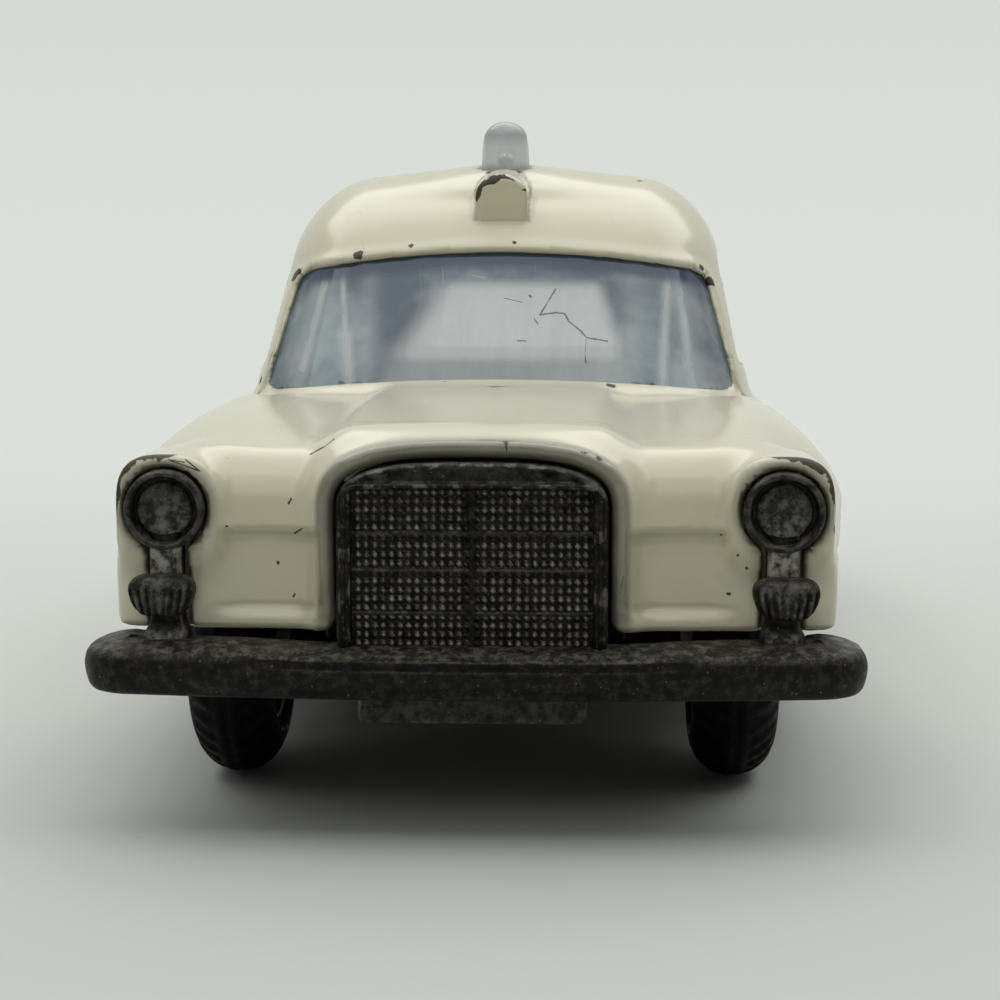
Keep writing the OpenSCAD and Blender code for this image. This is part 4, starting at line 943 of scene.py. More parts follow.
# %% [markdown]
# ## Windows and beacon
# One clear moulding lines the cabin, open at the foot and the rear. The beacon stands on its roof
# and comes up through a hole in the casting. It is turned: a profile carried round an upright axis.

# %% Window moulding
def glass_field(x, y, z):
    """Distance from the clear moulding: a sheet under the cabin's skin that fills the windscreen."""
    skin = cabin(x, y, z)
    sheet = np.abs(skin + CABIN_WALL + 0.5) - 0.4
    screen = np.maximum(screen_outline(x, z) - 0.25, skin + 0.2)
    screen = np.maximum(screen, np.maximum(-skin - 1.6, y + 5.5))
    sheet = np.minimum(sheet, screen)
    return round_max(round_max(sheet, 14.5 - z, 0.1), y - 29.4, 0.1)


glass_axes = [samples((-11.6, 11.6, 0.3)), samples((-17.0, -6.0, 0.3), (-6.0, 30.0, 0.7)),
              samples((14.0, 24.8, 0.3))]
glass_mesh, _ = cast_mesh("window_moulding_clear", glass_field, glass_axes)


def scuff_and_glare_map(points):
    """Whitish places on the windscreen, rubbing and painted light together: a wide one in the middle,
    where the bright tailgate window is painted as showing through it, and fainter painted reflections
    near both sides, where the moulding bends."""
    x, y, z = points.T
    front = smooth((-5 - y) / 2)
    up = z - 15.4
    wide = smooth((x + 6.0 - 0.62 * up) / 1.6) * smooth((6.4 - 0.3 * up - x) / 1.0)
    wide = wide * smooth((20.0 - z) / 0.7)
    at_bend = 0.5 * np.exp(-((np.abs(x) - 9.2 + 0.2 * up) / 0.6) ** 2)
    inside_bend = 0.3 * np.exp(-((np.abs(x) - 6.1) / 0.5) ** 2)
    return np.maximum(wide * (0.5 + 0.5 * smooth((up - 0.7) / 0.4)), at_bend + inside_bend) * front


place = points_of(glass_mesh)
x, y, z = place.T
# Painted shade under the windscreen's head, kept to the front part of the moulding.
header_shade = 0.9 * smooth((screen_outline(x, z) + 1.0) / 0.6) * smooth((z - 19.0) / 0.8)
mark(glass_mesh, "scuff_and_glare", scuff_and_glare_map(place))
mark(glass_mesh, "outer", smooth((cabin(x, y, z) + 1.1) / 0.3))
mark(glass_mesh, "header_shade", header_shade * smooth((-6 - y) / 1.5))
add_piece(glass_mesh, "car", "clear_blue", clear_blue, "window_moulding")


def turned(profile, centre, axis, steps):
    """A profile of radius and distance pairs carried round the x, y or z axis. The pairs start and end on
    the axis, so the shape closes."""
    r, along = np.asarray(profile, float).T
    angle = np.linspace(0, 2 * np.pi, steps, endpoint=False)
    c, s = np.cos(angle)[:, None] * r, np.sin(angle)[:, None] * r
    flat = np.broadcast_to(along, c.shape)
    order = {"x": (flat, c, s), "y": (c, flat, s), "z": (c, s, flat)}[axis]
    points = np.stack(order, -1).reshape(-1, 3) + np.asarray(centre, float)
    return points, grid_faces(steps, len(r), wrap_rows=True)


dome = np.radians(np.linspace(12, 90, 12))
top = np.column_stack([1.08 * np.cos(dome), 26.55 + 0.9 * np.sin(dome)])
inner = np.column_stack([0.3 * np.cos(dome[::-1]), 25.55 + 0.3 * np.sin(dome[::-1])])
wall = [[1.14, 23.5], [BEACON_R, 23.6], [BEACON_R, 25.3], [1.13, 26.2]]
cavity = np.concatenate([[[0, 25.85]], inner, [[0.34, 25.0], [0.4, 23.5], [1.14, 23.5]]])
beacon_profile = np.concatenate([cavity, wall, top, [[0, 27.45]]])
beacon_mesh = closed_mesh("beacon_dome", *turned(beacon_profile, (0, BEACON_Y, 0), "z", 48))
mark(beacon_mesh, "scuff_and_glare", 0.5 + 0.4 * smooth((26.7 - points_of(beacon_mesh)[:, 2]) / 0.7))
add_piece(beacon_mesh, "car", "clear_blue", clear_blue, "window_moulding")

# %% [markdown]
# ## Base casting
# Floor, axle saddles, grille block, lamp stems and plate bracket are one casting. Its soft-edged
# blocks are joined as fields, and the two bumpers, which are long and evenly rounded, are swept.

# %% Base blocks
GRILLE_FACE = -35.3
BLOCK_HALF, BLOCK_TOP = 4.83, 13.7


def base_field(x, y, z):
    """Distance from the floor, saddles, grille block, stems and bracket."""
    floor = soft_box(x, y, z, (-INNER_X, -32.2, 4.75), (INNER_X, 32.2, 5.65), 0.2)
    floor = round_min(floor, soft_box(x, y, z, (-11.0, -18.1, 4.75), (11.0, 10.3, 5.65), 0.2), 0.2)
    neck = np.minimum(soft_box(x, y, z, (-INNER_X, -34.6, 5.25), (INNER_X, -31.5, 6.35), 0.15),
                      soft_box(x, y, z, (-INNER_X, 31.5, 5.25), (INNER_X, 34.6, 6.35), 0.15))
    base = round_min(floor, neck, 0.2)
    for axle_y in (FRONT_AXLE_Y, REAR_AXLE_Y):
        block = np.minimum(np.hypot(y - axle_y, z - AXLE_Z) - 1.6,
                           soft_box(x, y, z, (-9, axle_y - 1.6, 5.2), (9, axle_y + 1.6, 7.2), 0.15))
        base = round_min(base, round_max(block, np.abs(x) - INNER_X, 0.15), 0.25)
        groove = np.minimum(np.hypot(y - axle_y, z - AXLE_Z) - 0.7,
                            np.maximum(np.abs(y - axle_y) - 0.7, AXLE_Z - z))
        base = round_max(base, -groove, 0.05)
    base = round_min(base, soft_box(x, y, z, (-4.1, -35.1, 4.3), (4.1, -34.4, 5.9), 0.18), 0.1)
    stem = soft_box(np.abs(x), y, z, (LAMP_X - 0.58, -34.5, 6.9), (LAMP_X + 0.58, -33.5, 11.9), 0.2)
    foot = soft_box(np.abs(x), y, z, (LAMP_X - 0.8, -34.75, 6.7), (LAMP_X + 0.8, -33.6, 7.6), 0.3)
    stem = round_min(stem, foot, 0.4)
    block = round_max(arch(x, z, BLOCK_HALF, GRILLE_SHOULDER, BLOCK_TOP), GRILLE_FACE - y, 0.25)
    block = np.maximum(np.maximum(block, y + 33.0), 6.9 - z)
    field = soft_box(x, y, z, (-4.3, -36.0, 7.0), (4.3, -34.9, 12.75), 0.12)
    block = round_max(block, -field, 0.12)
    lunette = round_max(arch(x, z, 4.5, GRILLE_SHOULDER, 13.45), 12.95 - z, 0.1)
    block = round_max(block, -np.maximum(lunette, y + 35.2), 0.08)
    flange = np.maximum(arch(x, z, 5.5, GRILLE_SHOULDER, 13.1), between(y, -32.75, -32.2))
    flange = np.maximum(flange, 6.9 - z)
    block = np.minimum(block, flange)
    return np.minimum(np.minimum(base, stem), block)


base_axes = [
    samples((-12.5, 12.5, 0.22)),
    samples((-35.5, -31.0, 0.16), (-31.0, 33.0, 0.5), (33.0, 35.2, 0.3)),
    samples((3.3, 14.1, 0.22)),
]
base_mesh, base_points = cast_mesh("base_blocks", base_field, base_axes)
x, y, z = base_points.T
on_stem = smooth((0.7 - np.abs(np.abs(x) - LAMP_X)) / 0.2) * smooth((-34.1 - y) / 0.2)
upper = smooth((10.7 - z) / 0.2) * smooth((z - 9.4) / 0.2)
hammered = on_stem * np.maximum(upper, 0.7 * smooth((7.7 - z) / 0.3))
brow_plate = 0.06 * smooth((z - 12.9) / 0.1) * smooth((-35.0 - y) / 0.1)
plate_face = 0.12 * smooth((5.6 - z) / 0.2) * smooth((-34.6 - y) / 0.2) * (np.abs(x) < 4.3)
mark(base_mesh, "pale", np.maximum(np.maximum(hammered, brow_plate), plate_face))
add_piece(base_mesh, "car", "dark_zinc", dark_zinc, "base_casting")

# %% [markdown]
# A bumper is a closed section carried along a path: a shallow bow with round ends. The front one
# has two fine grooves across the middle of its face, which run out towards the ends.

# %% Bumpers
BUMPER_FACE = 36.5


def bumper_path(half, bow, end_radius, length, count):
    """A bumper's face seen from above: a shallow bow, a round end and a short return, as points and their
    outward directions. The face is at y = 0 and the ends reach back along +y."""
    across = np.linspace(0, half - end_radius, count)
    bowed = np.column_stack([across, bow * (across / across[-1]) ** 2])
    angle = np.radians(np.linspace(-78, 0, count // 2))
    centre = np.array([half - end_radius, bow + end_radius])
    round_end = centre + end_radius * np.column_stack([np.cos(angle), np.sin(angle)])
    returned = np.linspace(round_end[-1, 1] + 0.2, length, count // 3)
    back = np.column_stack([np.full(count // 3, half), returned])
    right_half = np.concatenate([bowed, round_end[1:], back])
    path = np.concatenate([right_half[:0:-1] * [-1, 1], right_half])
    step = np.gradient(path, axis=0)
    outward = np.column_stack([step[:, 1], -step[:, 0]])
    return path, outward / np.linalg.norm(outward, axis=1, keepdims=True)


def bumper(half, bow, end_radius, length, depth, section, end_section):
    """A closed section of depth and height pairs carried along the bumper's path. It passes into a plainer
    one towards the ends, and shrinks to a point over the last steps, so the ends are round."""
    path, outward = bumper_path(half, bow, end_radius, length, 36)
    rows = len(path)
    last = np.minimum(np.arange(rows), np.arange(rows)[::-1]) / 7
    shrink = np.sqrt(1 - (1 - np.clip(last, 0, 1)) ** 2)[:, None]
    outer = smooth((np.abs(path[:, :1]) - 5.0) / 4.0)
    deep = section[:, 0] * (1 - outer) + end_section[:, 0] * outer
    high = section[:, 1] * (1 - outer) + end_section[:, 1] * outer
    middle = high.mean()
    inward = deep * depth * shrink + (1 - shrink) * depth * 0.5
    x = path[:, :1] - outward[:, :1] * inward
    y = path[:, 1:] - outward[:, 1:] * inward
    z = middle + (high - middle) * shrink
    points = np.stack([x, y, z], -1).reshape(-1, 3)
    return points, grid_faces(rows, len(section), wrap_columns=True)


# Section of the bumper: share of its depth behind the face, and height
front_section = np.array([
    [0.42, 5.31], [0.22, 5.34], [0.1, 5.4], [0.06, 5.5], [0.09, 5.6], [0.1, 5.7], [0.06, 5.8],
    [0.03, 5.95], [0.02, 6.2], [0.035, 6.4], [0.08, 6.5], [0.07, 6.6], [0.02, 6.68], [0.03, 6.78],
    [0.25, 6.98], [0.5, 7.1], [0.72, 7.15], [0.92, 7.12], [1.0, 7.0], [1.0, 6.4], [0.97, 5.6], [0.8, 5.34],
])
front_end_section = np.array([
    [0.42, 5.31], [0.22, 5.34], [0.13, 5.4], [0.09, 5.48], [0.06, 5.58], [0.045, 5.68], [0.03, 5.8],
    [0.015, 5.95], [0.0, 6.2], [0.0, 6.4], [0.01, 6.5], [0.02, 6.62], [0.04, 6.74], [0.1, 6.93],
    [0.3, 7.13], [0.5, 7.25], [0.72, 7.3], [0.92, 7.24], [1.0, 7.05], [1.0, 6.4], [0.97, 5.6], [0.8, 5.34],
])
rear_section = np.array([
    [0.42, 5.31], [0.18, 5.36], [0.05, 5.65], [0.0, 6.2], [0.02, 6.6], [0.12, 6.9], [0.4, 7.15],
    [0.7, 7.22], [0.95, 7.1], [1.0, 6.6], [0.98, 5.65], [0.8, 5.34],
])


def finer(section, count):
    """A closed section with more points, by straight steps along its length."""
    loop = np.vstack([section, section[:1]])
    length = np.concatenate([[0], np.cumsum(np.hypot(*(np.diff(loop, axis=0) * [2.2, 1.0]).T))])
    at = np.linspace(0, length[-1], count, endpoint=False)
    return np.column_stack([np.interp(at, length, loop[:, k]) for k in range(2)])


front_bar = bumper(14.15, 0.7, 2.0, 4.6, 2.3, finer(front_section, 66), finer(front_end_section, 66))
front_bar[0][:, 1] -= BUMPER_FACE
rear_bar = bumper(13.5, 0.7, 2.0, 4.6, 2.0, finer(rear_section, 40), finer(rear_section, 40))
rear_bar[0][:, 1] = BUMPER_FACE - rear_bar[0][:, 1]
for name, shape in (("front_bumper", front_bar), ("rear_bumper", rear_bar)):
    bar = closed_mesh(name, *shape)
    height = points_of(bar)[:, 2]
    groove = 0.3 * np.exp(-((height - 6.5) / 0.12) ** 2)
    mark(bar, "edge", 0.35 + 0.5 * smooth((height - 6.7) / 0.3) + groove)
    add_piece(bar, "car", "dark_zinc", dark_zinc, "base_casting")

# %% [markdown]
# ## Lamps
# Headlamps are turned: a rounded bezel, a groove and a low domed lens. The indicators below them
# are small pillows with upright flutes: a sphere whose powers are raised to square it off.

# %% Headlamps and indicators
INDICATOR_X, INDICATOR_Y, INDICATOR_Z = 11.12, -34.75, 8.86
INDICATOR_SIZE = (1.2, 0.66, 0.76)
LENS_R = 0.98

lens = np.radians(np.linspace(0, 90, 10))
headlamp_profile = np.concatenate([
    [[0, -33.5], [1.3, -33.5], [1.4, -33.6], [1.45, -34.2], [1.45, -34.5], [1.43, -34.66],
     [1.37, -34.76], [1.3, -34.79], [1.24, -34.76], [1.19, -34.66], [1.16, -34.5], [1.12, -34.36],
     [1.06, -34.33], [1.0, -34.38]],
    np.column_stack([0.97 * np.cos(lens), -34.42 - 0.2 * np.sin(lens)]),
])


def pillow(centre, size, power, flutes, depth, rows, columns):
    """A squared sphere: each sine and cosine keeps its sign and is raised to a power below one. Round ribs
    stand on its front below a plain brim, as the size of a cosine across x, and its foot is narrower."""
    v = np.linspace(-np.pi / 2, np.pi / 2, rows)[:, None]
    u = np.linspace(0, 2 * np.pi, columns, endpoint=False)[None, :]

    def raised(t):
        return np.sign(t) * np.abs(t) ** power

    x = raised(np.cos(v)) * raised(np.cos(u))
    y = raised(np.cos(v)) * raised(np.sin(u))
    z = raised(np.sin(v)) * np.ones_like(u)
    y = y * (1 - depth * (1 - np.abs(np.cos(flutes * np.pi / 2 * x))) * smooth((0.5 - z) / 0.2))
    x = x * (1 - 0.22 * smooth((0.3 - z) / 1.3))
    points = np.stack([x, y, z], -1).reshape(-1, 3) * size + centre
    return points, grid_faces(rows, columns, wrap_columns=True)


for side, word in ((1, "left"), (-1, "right")):
    lamp = closed_mesh(f"headlamp_{word}", *turned(headlamp_profile, (side * LAMP_X, 0, LAMP_Z), "y", 64))
    place = points_of(lamp)
    away = np.hypot(place[:, 0] - side * LAMP_X, place[:, 2] - LAMP_Z)
    mark(lamp, "edge", np.where(away < LENS_R, 0.4, 0.3))
    # Painted light: the lens is drawn paler towards its foot.
    lit = 0.26 + 0.16 * (LAMP_Z - place[:, 2])
    mark(lamp, "pale", np.where(away < LENS_R, lit, 0.16 * smooth((away - 1.18) / 0.05)))
    add_piece(lamp, "car", "dark_zinc", dark_zinc, "base_casting")
    centre = (side * INDICATOR_X, INDICATOR_Y, INDICATOR_Z)
    blinker = closed_mesh(f"indicator_{word}", *pillow(centre, INDICATOR_SIZE, 0.55, 8, 0.3, 36, 192))
    proud = smooth((-35.2 - points_of(blinker)[:, 1]) / 0.15)
    mark(blinker, "edge", 0.3 + 0.45 * proud)
    mark(blinker, "pale", 0.25 * proud)
    add_piece(blinker, "car", "dark_zinc", dark_zinc, "base_casting")

# %% [markdown]
# ## Grille mesh
# Inside the grille's frame lies a field of tiny pyramids with an upright bar in the middle and bars
# across. The pyramids are a sheet whose height is the product of two triangle waves; the bars are
# sheets with a round top.

# %% Grille mesh
def tent(t):
    """A triangle wave from 0 to 1 and back once in each unit of t."""
    return 1 - np.abs(2 * (t - np.floor(t)) - 1)


PITCH_X, PITCH_Z = 0.3, 0.32
MESH_FLOOR, MESH_BACK = -34.88, -34.7
mesh_x = np.arange(-4.35, 4.351, PITCH_X / 4)
mesh_z = np.arange(6.95, 12.91, PITCH_Z / 4)
gx, gz = np.meshgrid(mesh_x, mesh_z, indexing="ij")
studs = 0.2 * np.minimum(1.0, 1.4 * tent(gx / PITCH_X) * tent(gz / PITCH_Z))
bars_z = np.array([8.29, 9.83, 11.15])
ridge = np.max(np.clip(1 - ((gz[..., None] - bars_z) / 0.1) ** 2, 0, 1), -1)
middle = np.clip(1 - (gx / 0.15) ** 2, 0, 1)
height = np.maximum(np.maximum(studs, 0.16 * np.sqrt(ridge)), 0.2 * np.sqrt(middle))
sheet = np.stack([gx, MESH_FLOOR - height, gz], -1)
back = np.stack([gx, np.full_like(gx, MESH_BACK), gz], -1)
rows, columns = gx.shape
cells = grid_faces(rows, columns)
count = rows * columns
border = np.concatenate([np.arange(columns), np.arange(1, rows) * columns + columns - 1,
                         (rows - 1) * columns + np.arange(columns - 2, -1, -1),
                         np.arange(rows - 2, 0, -1) * columns])
walls = np.column_stack([border, np.roll(border, -1), np.roll(border, -1) + count, border + count])
grille_points = np.concatenate([sheet.reshape(-1, 3), back.reshape(-1, 3)])
grille_faces = np.concatenate([cells[:, ::-1], cells + count, walls])
grille_mesh = closed_mesh("grille_mesh", grille_points, grille_faces)
grille_mesh.polygons.foreach_set("use_smooth", np.zeros(len(grille_mesh.polygons), dtype=bool))
place = points_of(grille_mesh)
barred = np.min(np.abs(place[:, 2:] - bars_z), -1) < 0.13
# Painted highlights: the stud tips get a high edge mark and a pale mark, so they show rubbed and pale, less
# so on the bars across.
raised = smooth((-34.94 - place[:, 1]) / 0.12) * (np.abs(place[:, 0]) > 0.2)
raised = raised * np.where(barred, 0.35, 1.0)
mark(grille_mesh, "edge", 1.5 * raised)
mark(grille_mesh, "pale", 1.2 * raised ** 2)
add_piece(grille_mesh, "car", "dark_zinc", dark_zinc, "base_casting")


def tube(path, radius, around=10):
    """A thin round rod along a path in the plane of the grille: rings of points about each place, drawn in
    to a point at both ends."""
    step = np.gradient(path, axis=0)
    step /= np.linalg.norm(step, axis=1, keepdims=True)
    sideways = np.column_stack([step[:, 1], -step[:, 0]])
    angle = np.linspace(0, 2 * np.pi, around, endpoint=False)
    r = np.full(len(path), radius)
    r[[0, -1]] = 0
    x = path[:, :1] + sideways[:, :1] * np.cos(angle) * r[:, None]
    z = path[:, 1:] + sideways[:, 1:] * np.cos(angle) * r[:, None]
    y = GRILLE_FACE + np.sin(angle) * r[:, None]
    return np.stack([x, y, z], -1).reshape(-1, 3), grid_faces(len(path), around, wrap_columns=True)


corner = np.radians(np.linspace(0, 90, 8))
round_corner = np.column_stack([4.06 + 0.5 * np.cos(corner), 12.36 + 0.5 * np.sin(corner)])
half_path = np.concatenate([[[4.56, 7.05], [4.56, 7.1], [4.56, 10.0]], round_corner, [[2.0, 12.88]]])
bead_path = np.concatenate([half_path, half_path[::-1] * [-1, 1]])
bead = closed_mesh("grille_bead", *tube(bead_path, 0.08))
mark(bead, "edge", np.full(len(bead.vertices), 0.95))
add_piece(bead, "car", "dark_zinc", dark_zinc, "base_casting")

# %% [markdown]
# ## Inside
# The tray, dashboard, bench seat and steering wheel are one pale moulding, and the stretcher lies
# behind the seat. They show through the windows and when the tailgate is up.

# %% Interior
def interior_field(x, y, z):
    """Distance from the interior moulding."""
    tray = soft_box(x, y, z, (-7.2, -27.25, 7.3), (7.2, 28.05, 8.1), 0.15)
    dash = soft_box(x, y, z, (-7.2, -13.1, 7.4), (7.2, -11.1, 14.3), 0.4)
    seat = soft_box(x, y, z, (-7.2, -7.6, 7.4), (7.2, -2.1, 10.5), 0.5)
    back = round_max(round_max(np.abs(x) - 7.4, z - 15.9, 2.0), between(y, -2.5, -0.4), 0.4)
    back = np.maximum(back, 7.4 - z)
    seat = round_min(seat, back, 0.3)
    seam = np.maximum(np.abs(x) - 0.12, z - 14.0)
    seat = round_max(seat, -np.maximum(seam, -seat - 0.25), 0.1)
    inside = round_min(tray, round_min(dash, seat, 0.2), 0.25)
    for axle_y in (FRONT_AXLE_Y, REAR_AXLE_Y):
        rib = soft_box(x, y, z, (-6.2, axle_y - 0.6, 5.95), (6.2, axle_y + 0.6, 7.7), 0.08)
        inside = np.minimum(inside, rib)
    return inside


inside_axes = [
    samples((-7.6, 7.6, 0.3)),
    samples((-27.7, -14.0, 0.6), (-14.0, 0.2, 0.25), (0.2, 28.6, 0.6)),
    samples((5.6, 16.4, 0.25)),
]
inside_mesh, _ = cast_mesh("interior_cast", interior_field, inside_axes)
add_piece(inside_mesh, "car", "ivory_plastic", ivory_plastic, "interior_moulding")

# %% [markdown]
# The steering wheel is drawn flat, as a rim, three spokes and a column, and then tipped towards the
# seat.

# %% Steering wheel
def tipped(points, lean):
    """Points turned about the x axis by the lean."""
    c, s = np.cos(lean), np.sin(lean)
    return points @ np.array([[1, 0, 0], [0, c, -s], [0, s, c]]).T


def ring(radius, thickness, steps=48, around=16):
    """A steering wheel's rim: a small circle carried round a large one."""
    u = np.linspace(0, 2 * np.pi, steps, endpoint=False)[:, None]
    v = np.linspace(0, 2 * np.pi, around, endpoint=False)[None, :]
    away = radius + thickness * np.cos(v)
    flat = np.stack([away * np.cos(u), away * np.sin(u), thickness * np.sin(v) * np.ones_like(u)], -1)
    return flat.reshape(-1, 3), grid_faces(steps, around, True, True)


LEAN, RIM_UP = np.radians(35 - 90), 3.55
wheel_axis = np.array([0, -np.sin(LEAN), np.cos(LEAN)])
column_foot = np.array([3.6, -12.1, 8.1 + 0.5 * 6.2])
rim_at = column_foot + wheel_axis * RIM_UP
rim_points, rim_faces = ring(1.9, 0.3)
column_profile = [[0, 0], [0.6, 0.0], [0.6, 3.3], [0.75, 3.4], [0.75, 3.75], [0.5, 3.9], [0, 3.9]]
column_points, column_faces = turned(column_profile, (0, 0, 0), "z", 24)
forms = [(tipped(rim_points, LEAN) + rim_at, rim_faces),
         (tipped(column_points, LEAN) + column_foot, column_faces)]
for angle in np.radians((0, 120, 240)):
    rod, rod_faces = turned([[0, 0.3], [0.22, 0.3], [0.22, 1.9], [0, 1.9]], (0, 0, 0), "x", 10)
    c, s = np.cos(angle), np.sin(angle)
    rod = rod @ np.array([[c, -s, 0], [s, c, 0], [0, 0, 1]]).T
    forms.append((tipped(rod, LEAN) + rim_at, rod_faces))
steering = closed_mesh("steering_wheel", *joined(*forms))
add_piece(steering, "car", "ivory_plastic", ivory_plastic, "interior_moulding")

# %% [markdown]
# The stretcher is drawn as one piece: a framed tray on runners with its mattress, pillow and side
# rails.

# %% Stretcher
def stretcher_field(x, y, z):
    """Distance from the stretcher: a tray on two runners, a crowned mattress, a pillow and rails."""
    tray = soft_box(x, y, z, (-3.5, -0.15, 9.3), (3.5, 22.85, 10.1), 0.3)
    runner = soft_box(np.abs(x), y, z, (2.7, 0.4, 8.1), (3.5, 22.3, 9.7), 0.2)
    crown = 11.15 - 0.012 * x ** 2
    bed = round_max(soft_box(x, y, z, (-2.94, 0.41, 9.7), (2.94, 22.29, 11.3), 0.35), z - crown, 0.3)
    pillow_form = soft_box(x, y, z, (-1.85, 1.0, 10.8), (1.85, 5.2, 11.9), 0.5)
    rail = soft_box(np.abs(x), y, z, (3.0, 0.1, 9.9), (3.45, 22.6, 10.45), 0.2)
    bedding = np.minimum(round_min(bed, pillow_form, 0.25), rail)
    return np.minimum(round_min(round_min(tray, runner, 0.2), bed, 0.1), bedding)


bed_axes = [samples((-3.9, 3.9, 0.22)), samples((-0.6, 23.3, 0.4)), samples((7.7, 12.4, 0.2))]
bed_mesh, _ = cast_mesh("stretcher_form", stretcher_field, bed_axes)
add_piece(bed_mesh, "car", "white_plastic", white_plastic, "stretcher")

# %% [markdown]
# ## Wheels
# A tyre is its section carried round the axle. Lugs stand on both shoulders: the radius and the
# width rise a little where a rounded square wave is high. The hub is a turned dish with a boss
# round the axle.

# %% Tyres and hubs
TYRE_R, TYRE_HALF, BEAD_R, HUB_HALF = 5.2, 1.7, 3.3, 1.4
WHEEL_X, LUGS = 9.9, 36


def about_axle(x, r, angle, side, centre):
    """A closed section carried round the axle: x lies along it and r is the distance from it."""
    points = np.stack([side * (x + 0 * angle), r * np.cos(angle), r * np.sin(angle)], -1)
    return points.reshape(-1, 3) + centre, grid_faces(*points.shape[:2], True, True)


def tyre(centre, side, steps=288):
    """Section of bead, wall and round crown, with lugs of 0.12 mm on the shoulders, half a step apart from
    one side to the other, and a groove round the middle."""
    t = np.radians(np.linspace(-90, 90, 41))
    crown_r = TYRE_R - 0.02 - TYRE_HALF + TYRE_HALF * np.cos(t)
    crown_x = TYRE_HALF * np.sin(t)
    r = np.concatenate([crown_r, [BEAD_R, BEAD_R]])
    x = np.concatenate([crown_x, [HUB_HALF, -HUB_HALF]])
    tilt = np.abs(np.degrees(t))
    shoulder = np.concatenate([smooth((tilt - 12) / 10) * smooth((72 - tilt) / 12), [0, 0]])
    angle = np.linspace(0, 2 * np.pi, steps, endpoint=False)[:, None]
    phase = angle * LUGS + np.where(x > 0, 0, np.pi)[None, :] + 0.8 * np.abs(x)[None, :]
    lug = smooth(0.5 + 1.6 * np.cos(phase)) * shoulder[None, :]
    groove = np.exp(-(np.degrees(np.concatenate([t, [9, 9]])) / 4) ** 2)[None, :]
    out_r = r[None, :] - 0.12 * (1 - lug) * shoulder[None, :] - 0.1 * groove
    out_x = x[None, :] * (1 - 0.03 * (1 - lug) * shoulder[None, :])
    return about_axle(out_x, out_r, angle, side, centre)


hub_profile = [
    [0.7, -1.4], [1.4, -1.4], [1.4, -0.5], [2.75, -0.5], [2.85, -1.35], [3.0, -1.4],
    [3.3, -1.4], [3.3, 1.4], [3.1, 1.4], [2.9, 1.25], [2.8, 0.75], [2.6, 0.5],
    [2.0, 0.42], [1.75, 0.48], [1.6, 0.8], [1.5, 1.25], [1.35, 1.4], [0.7, 1.4],
]


def hub(centre, side, steps=56):
    """The hub's section carried round the axle: it is a closed loop, because the bore goes through."""
    r, x = np.asarray(hub_profile, float).T
    angle = np.linspace(0, 2 * np.pi, steps, endpoint=False)[:, None]
    return about_axle(x, r, angle, side, centre)


for end, axle_y in (("front", FRONT_AXLE_Y), ("rear", REAR_AXLE_Y)):
    for side, word in ((1, "left"), (-1, "right")):
        centre = np.array([side * WHEEL_X, axle_y, AXLE_Z])
        wheel = f"{end}_{word}"
        tread = closed_mesh(f"{wheel}_tread", *tyre(centre, side))
        add_piece(tread, f"{wheel}_wheel", "black_tyre", black_tyre, f"{wheel}_tyre")
        dish = closed_mesh(f"{wheel}_dish", *hub(centre, side))
        add_piece(dish, f"{wheel}_wheel", "hub_plastic", hub_plastic, f"{wheel}_hub")

# %% [markdown]
# ## Floor and light
# The toy stands on a pale seamless sheet. A wide soft light hangs above and a little behind it, so
# that the shadow falls towards the camera. Three weaker ones fill in from the front and from both
# sides.

# %% Stage
def sheet_points(width, front, bend_at, radius, top):
    """A floor that curves up into a backdrop: a straight run, a quarter circle and an upright, carried
    across the width."""
    angle = np.radians(np.linspace(0, 90, 24))
    y = np.concatenate([[front], bend_at + radius * np.sin(angle), [bend_at + radius]])
    z = np.concatenate([[0.0], radius - radius * np.cos(angle), [top]])
    x = np.array([-width / 2, width / 2])
    return np.stack([np.repeat(x, len(y)), np.tile(y, 2), np.tile(z, 2)], -1), grid_faces(2, len(y))


# Painted shade: the sheet is coloured darker in front of the toy and lighter behind it.
PAPER_NEAR_SHADED, PAPER_FAR = (0.60, 0.62, 0.585), (0.71, 0.735, 0.695)
PAPER_TOP = (0.635, 0.66, 0.625)
paper, tree, shader = new_material("pale_paper")
place = object_axes(tree)
shade = mix_colour(tree, ramp(tree, place["Y"], -0.06, 0.12), PAPER_NEAR_SHADED, PAPER_FAR)
fill(tree, shader, {"Base Color": shade, "Roughness": 0.8, "Specular IOR Level": 0.1})
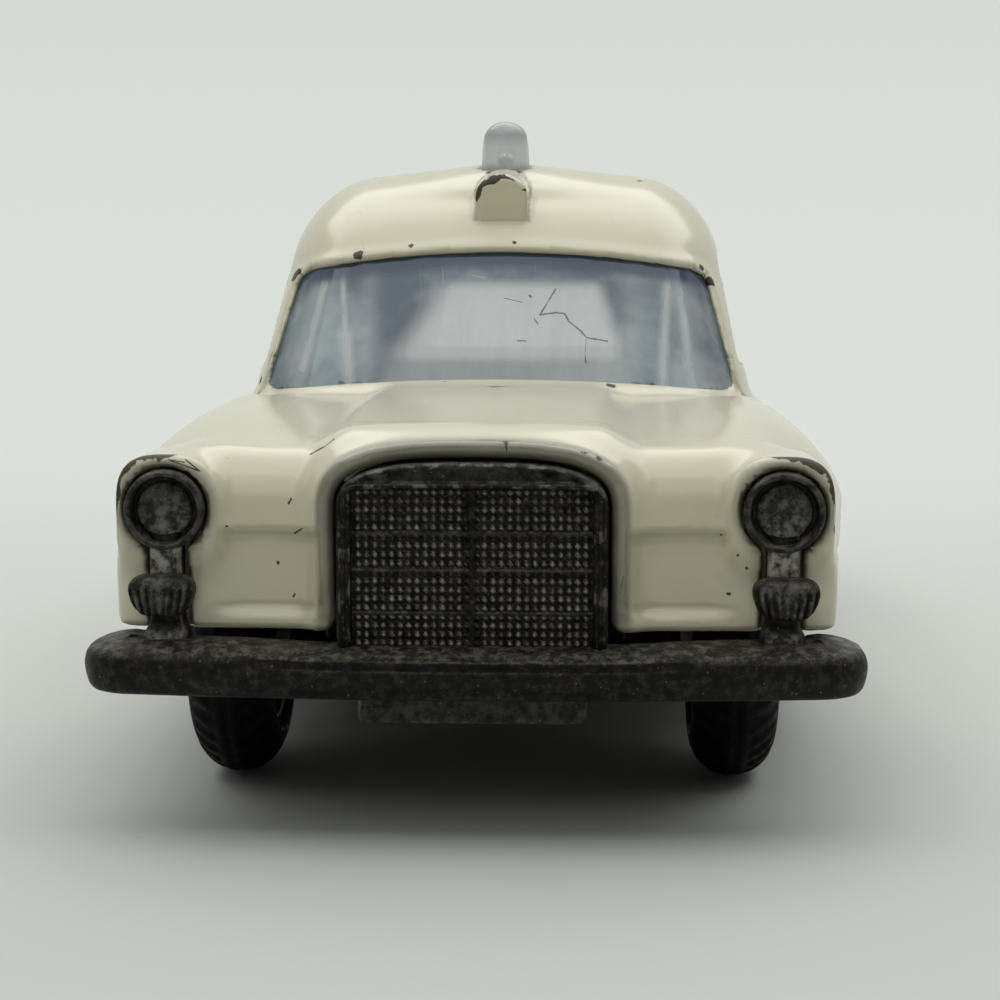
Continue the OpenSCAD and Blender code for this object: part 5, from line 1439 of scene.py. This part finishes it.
# Seen directly, the sheet further back glows its own pale colour instead of taking light, a little darker
# upwards.
shade = mix_colour(tree, ramp(tree, place["Z"], 0.0, 0.25), PAPER_FAR, PAPER_TOP)
glow = node(tree, "Emission", {"Color": shade})
seen = node(tree, "LightPath").outputs
direct = math(tree, "MAXIMUM", seen["Is Camera Ray"], seen["Is Glossy Ray"])
direct = math(tree, "MAXIMUM", direct, seen["Is Transmission Ray"])
far = math(tree, "MULTIPLY", direct, ramp(tree, place["Y"], 0.1, 0.3))
blend = node(tree, "MixShader", {0: far, 1: shader.outputs[0], 2: glow.outputs[0]})
tree.links.new(blend.outputs[0], tree.nodes["Material Output"].inputs["Surface"])
floor_mesh = mesh_from("floor_sheet", *sheet_points(4000, -2500, 400, 500, 2500))
floor_sheet = bpy.data.objects.new("floor_sheet", floor_mesh)
floor_mesh.materials.append(paper)
bpy.context.scene.collection.objects.link(floor_sheet)


def soft_light(name, place, target, size, watts):
    """A square area light that faces a target; places in metres."""
    lamp = bpy.data.objects.new(name, bpy.data.lights.new(name, "AREA"))
    lamp.data.size = size
    lamp.data.energy = watts
    away = np.array(place) - np.array(target)
    z = away / np.linalg.norm(away)
    x = np.cross((0.0, 1.0, 0.0), z)
    x /= np.linalg.norm(x)
    axes = np.column_stack([x, np.cross(z, x), z])
    lamp.matrix_world = Matrix.Translation(place) @ Matrix(axes.tolist()).to_4x4()
    bpy.context.scene.collection.objects.link(lamp)


soft_light("overhead", (0.03, 0.22, 0.9), (0.0, 0.02, 0.01), 1.5, 11.4)
soft_light("front_fill", (-0.2, -0.7, 0.8), (0.0, 0.0, 0.01), 0.8, 1.9)
soft_light("left_fill", (-0.8, 0.0, 0.75), (0.0, 0.0, 0.0), 0.7, 0.7)
soft_light("right_fill", (0.8, 0.0, 0.75), (0.0, 0.0, 0.0), 0.7, 0.5)
world = bpy.data.worlds.new("room")
world.use_nodes = True
background = world.node_tree.nodes["Background"].inputs
background["Color"].default_value = (0.86, 0.88, 0.88, 1.0)
background["Strength"].default_value = 0.1
bpy.context.scene.world = world
bpy.context.scene.view_settings.view_transform = "Standard"
print("lights:", [light.name for light in bpy.data.lights])
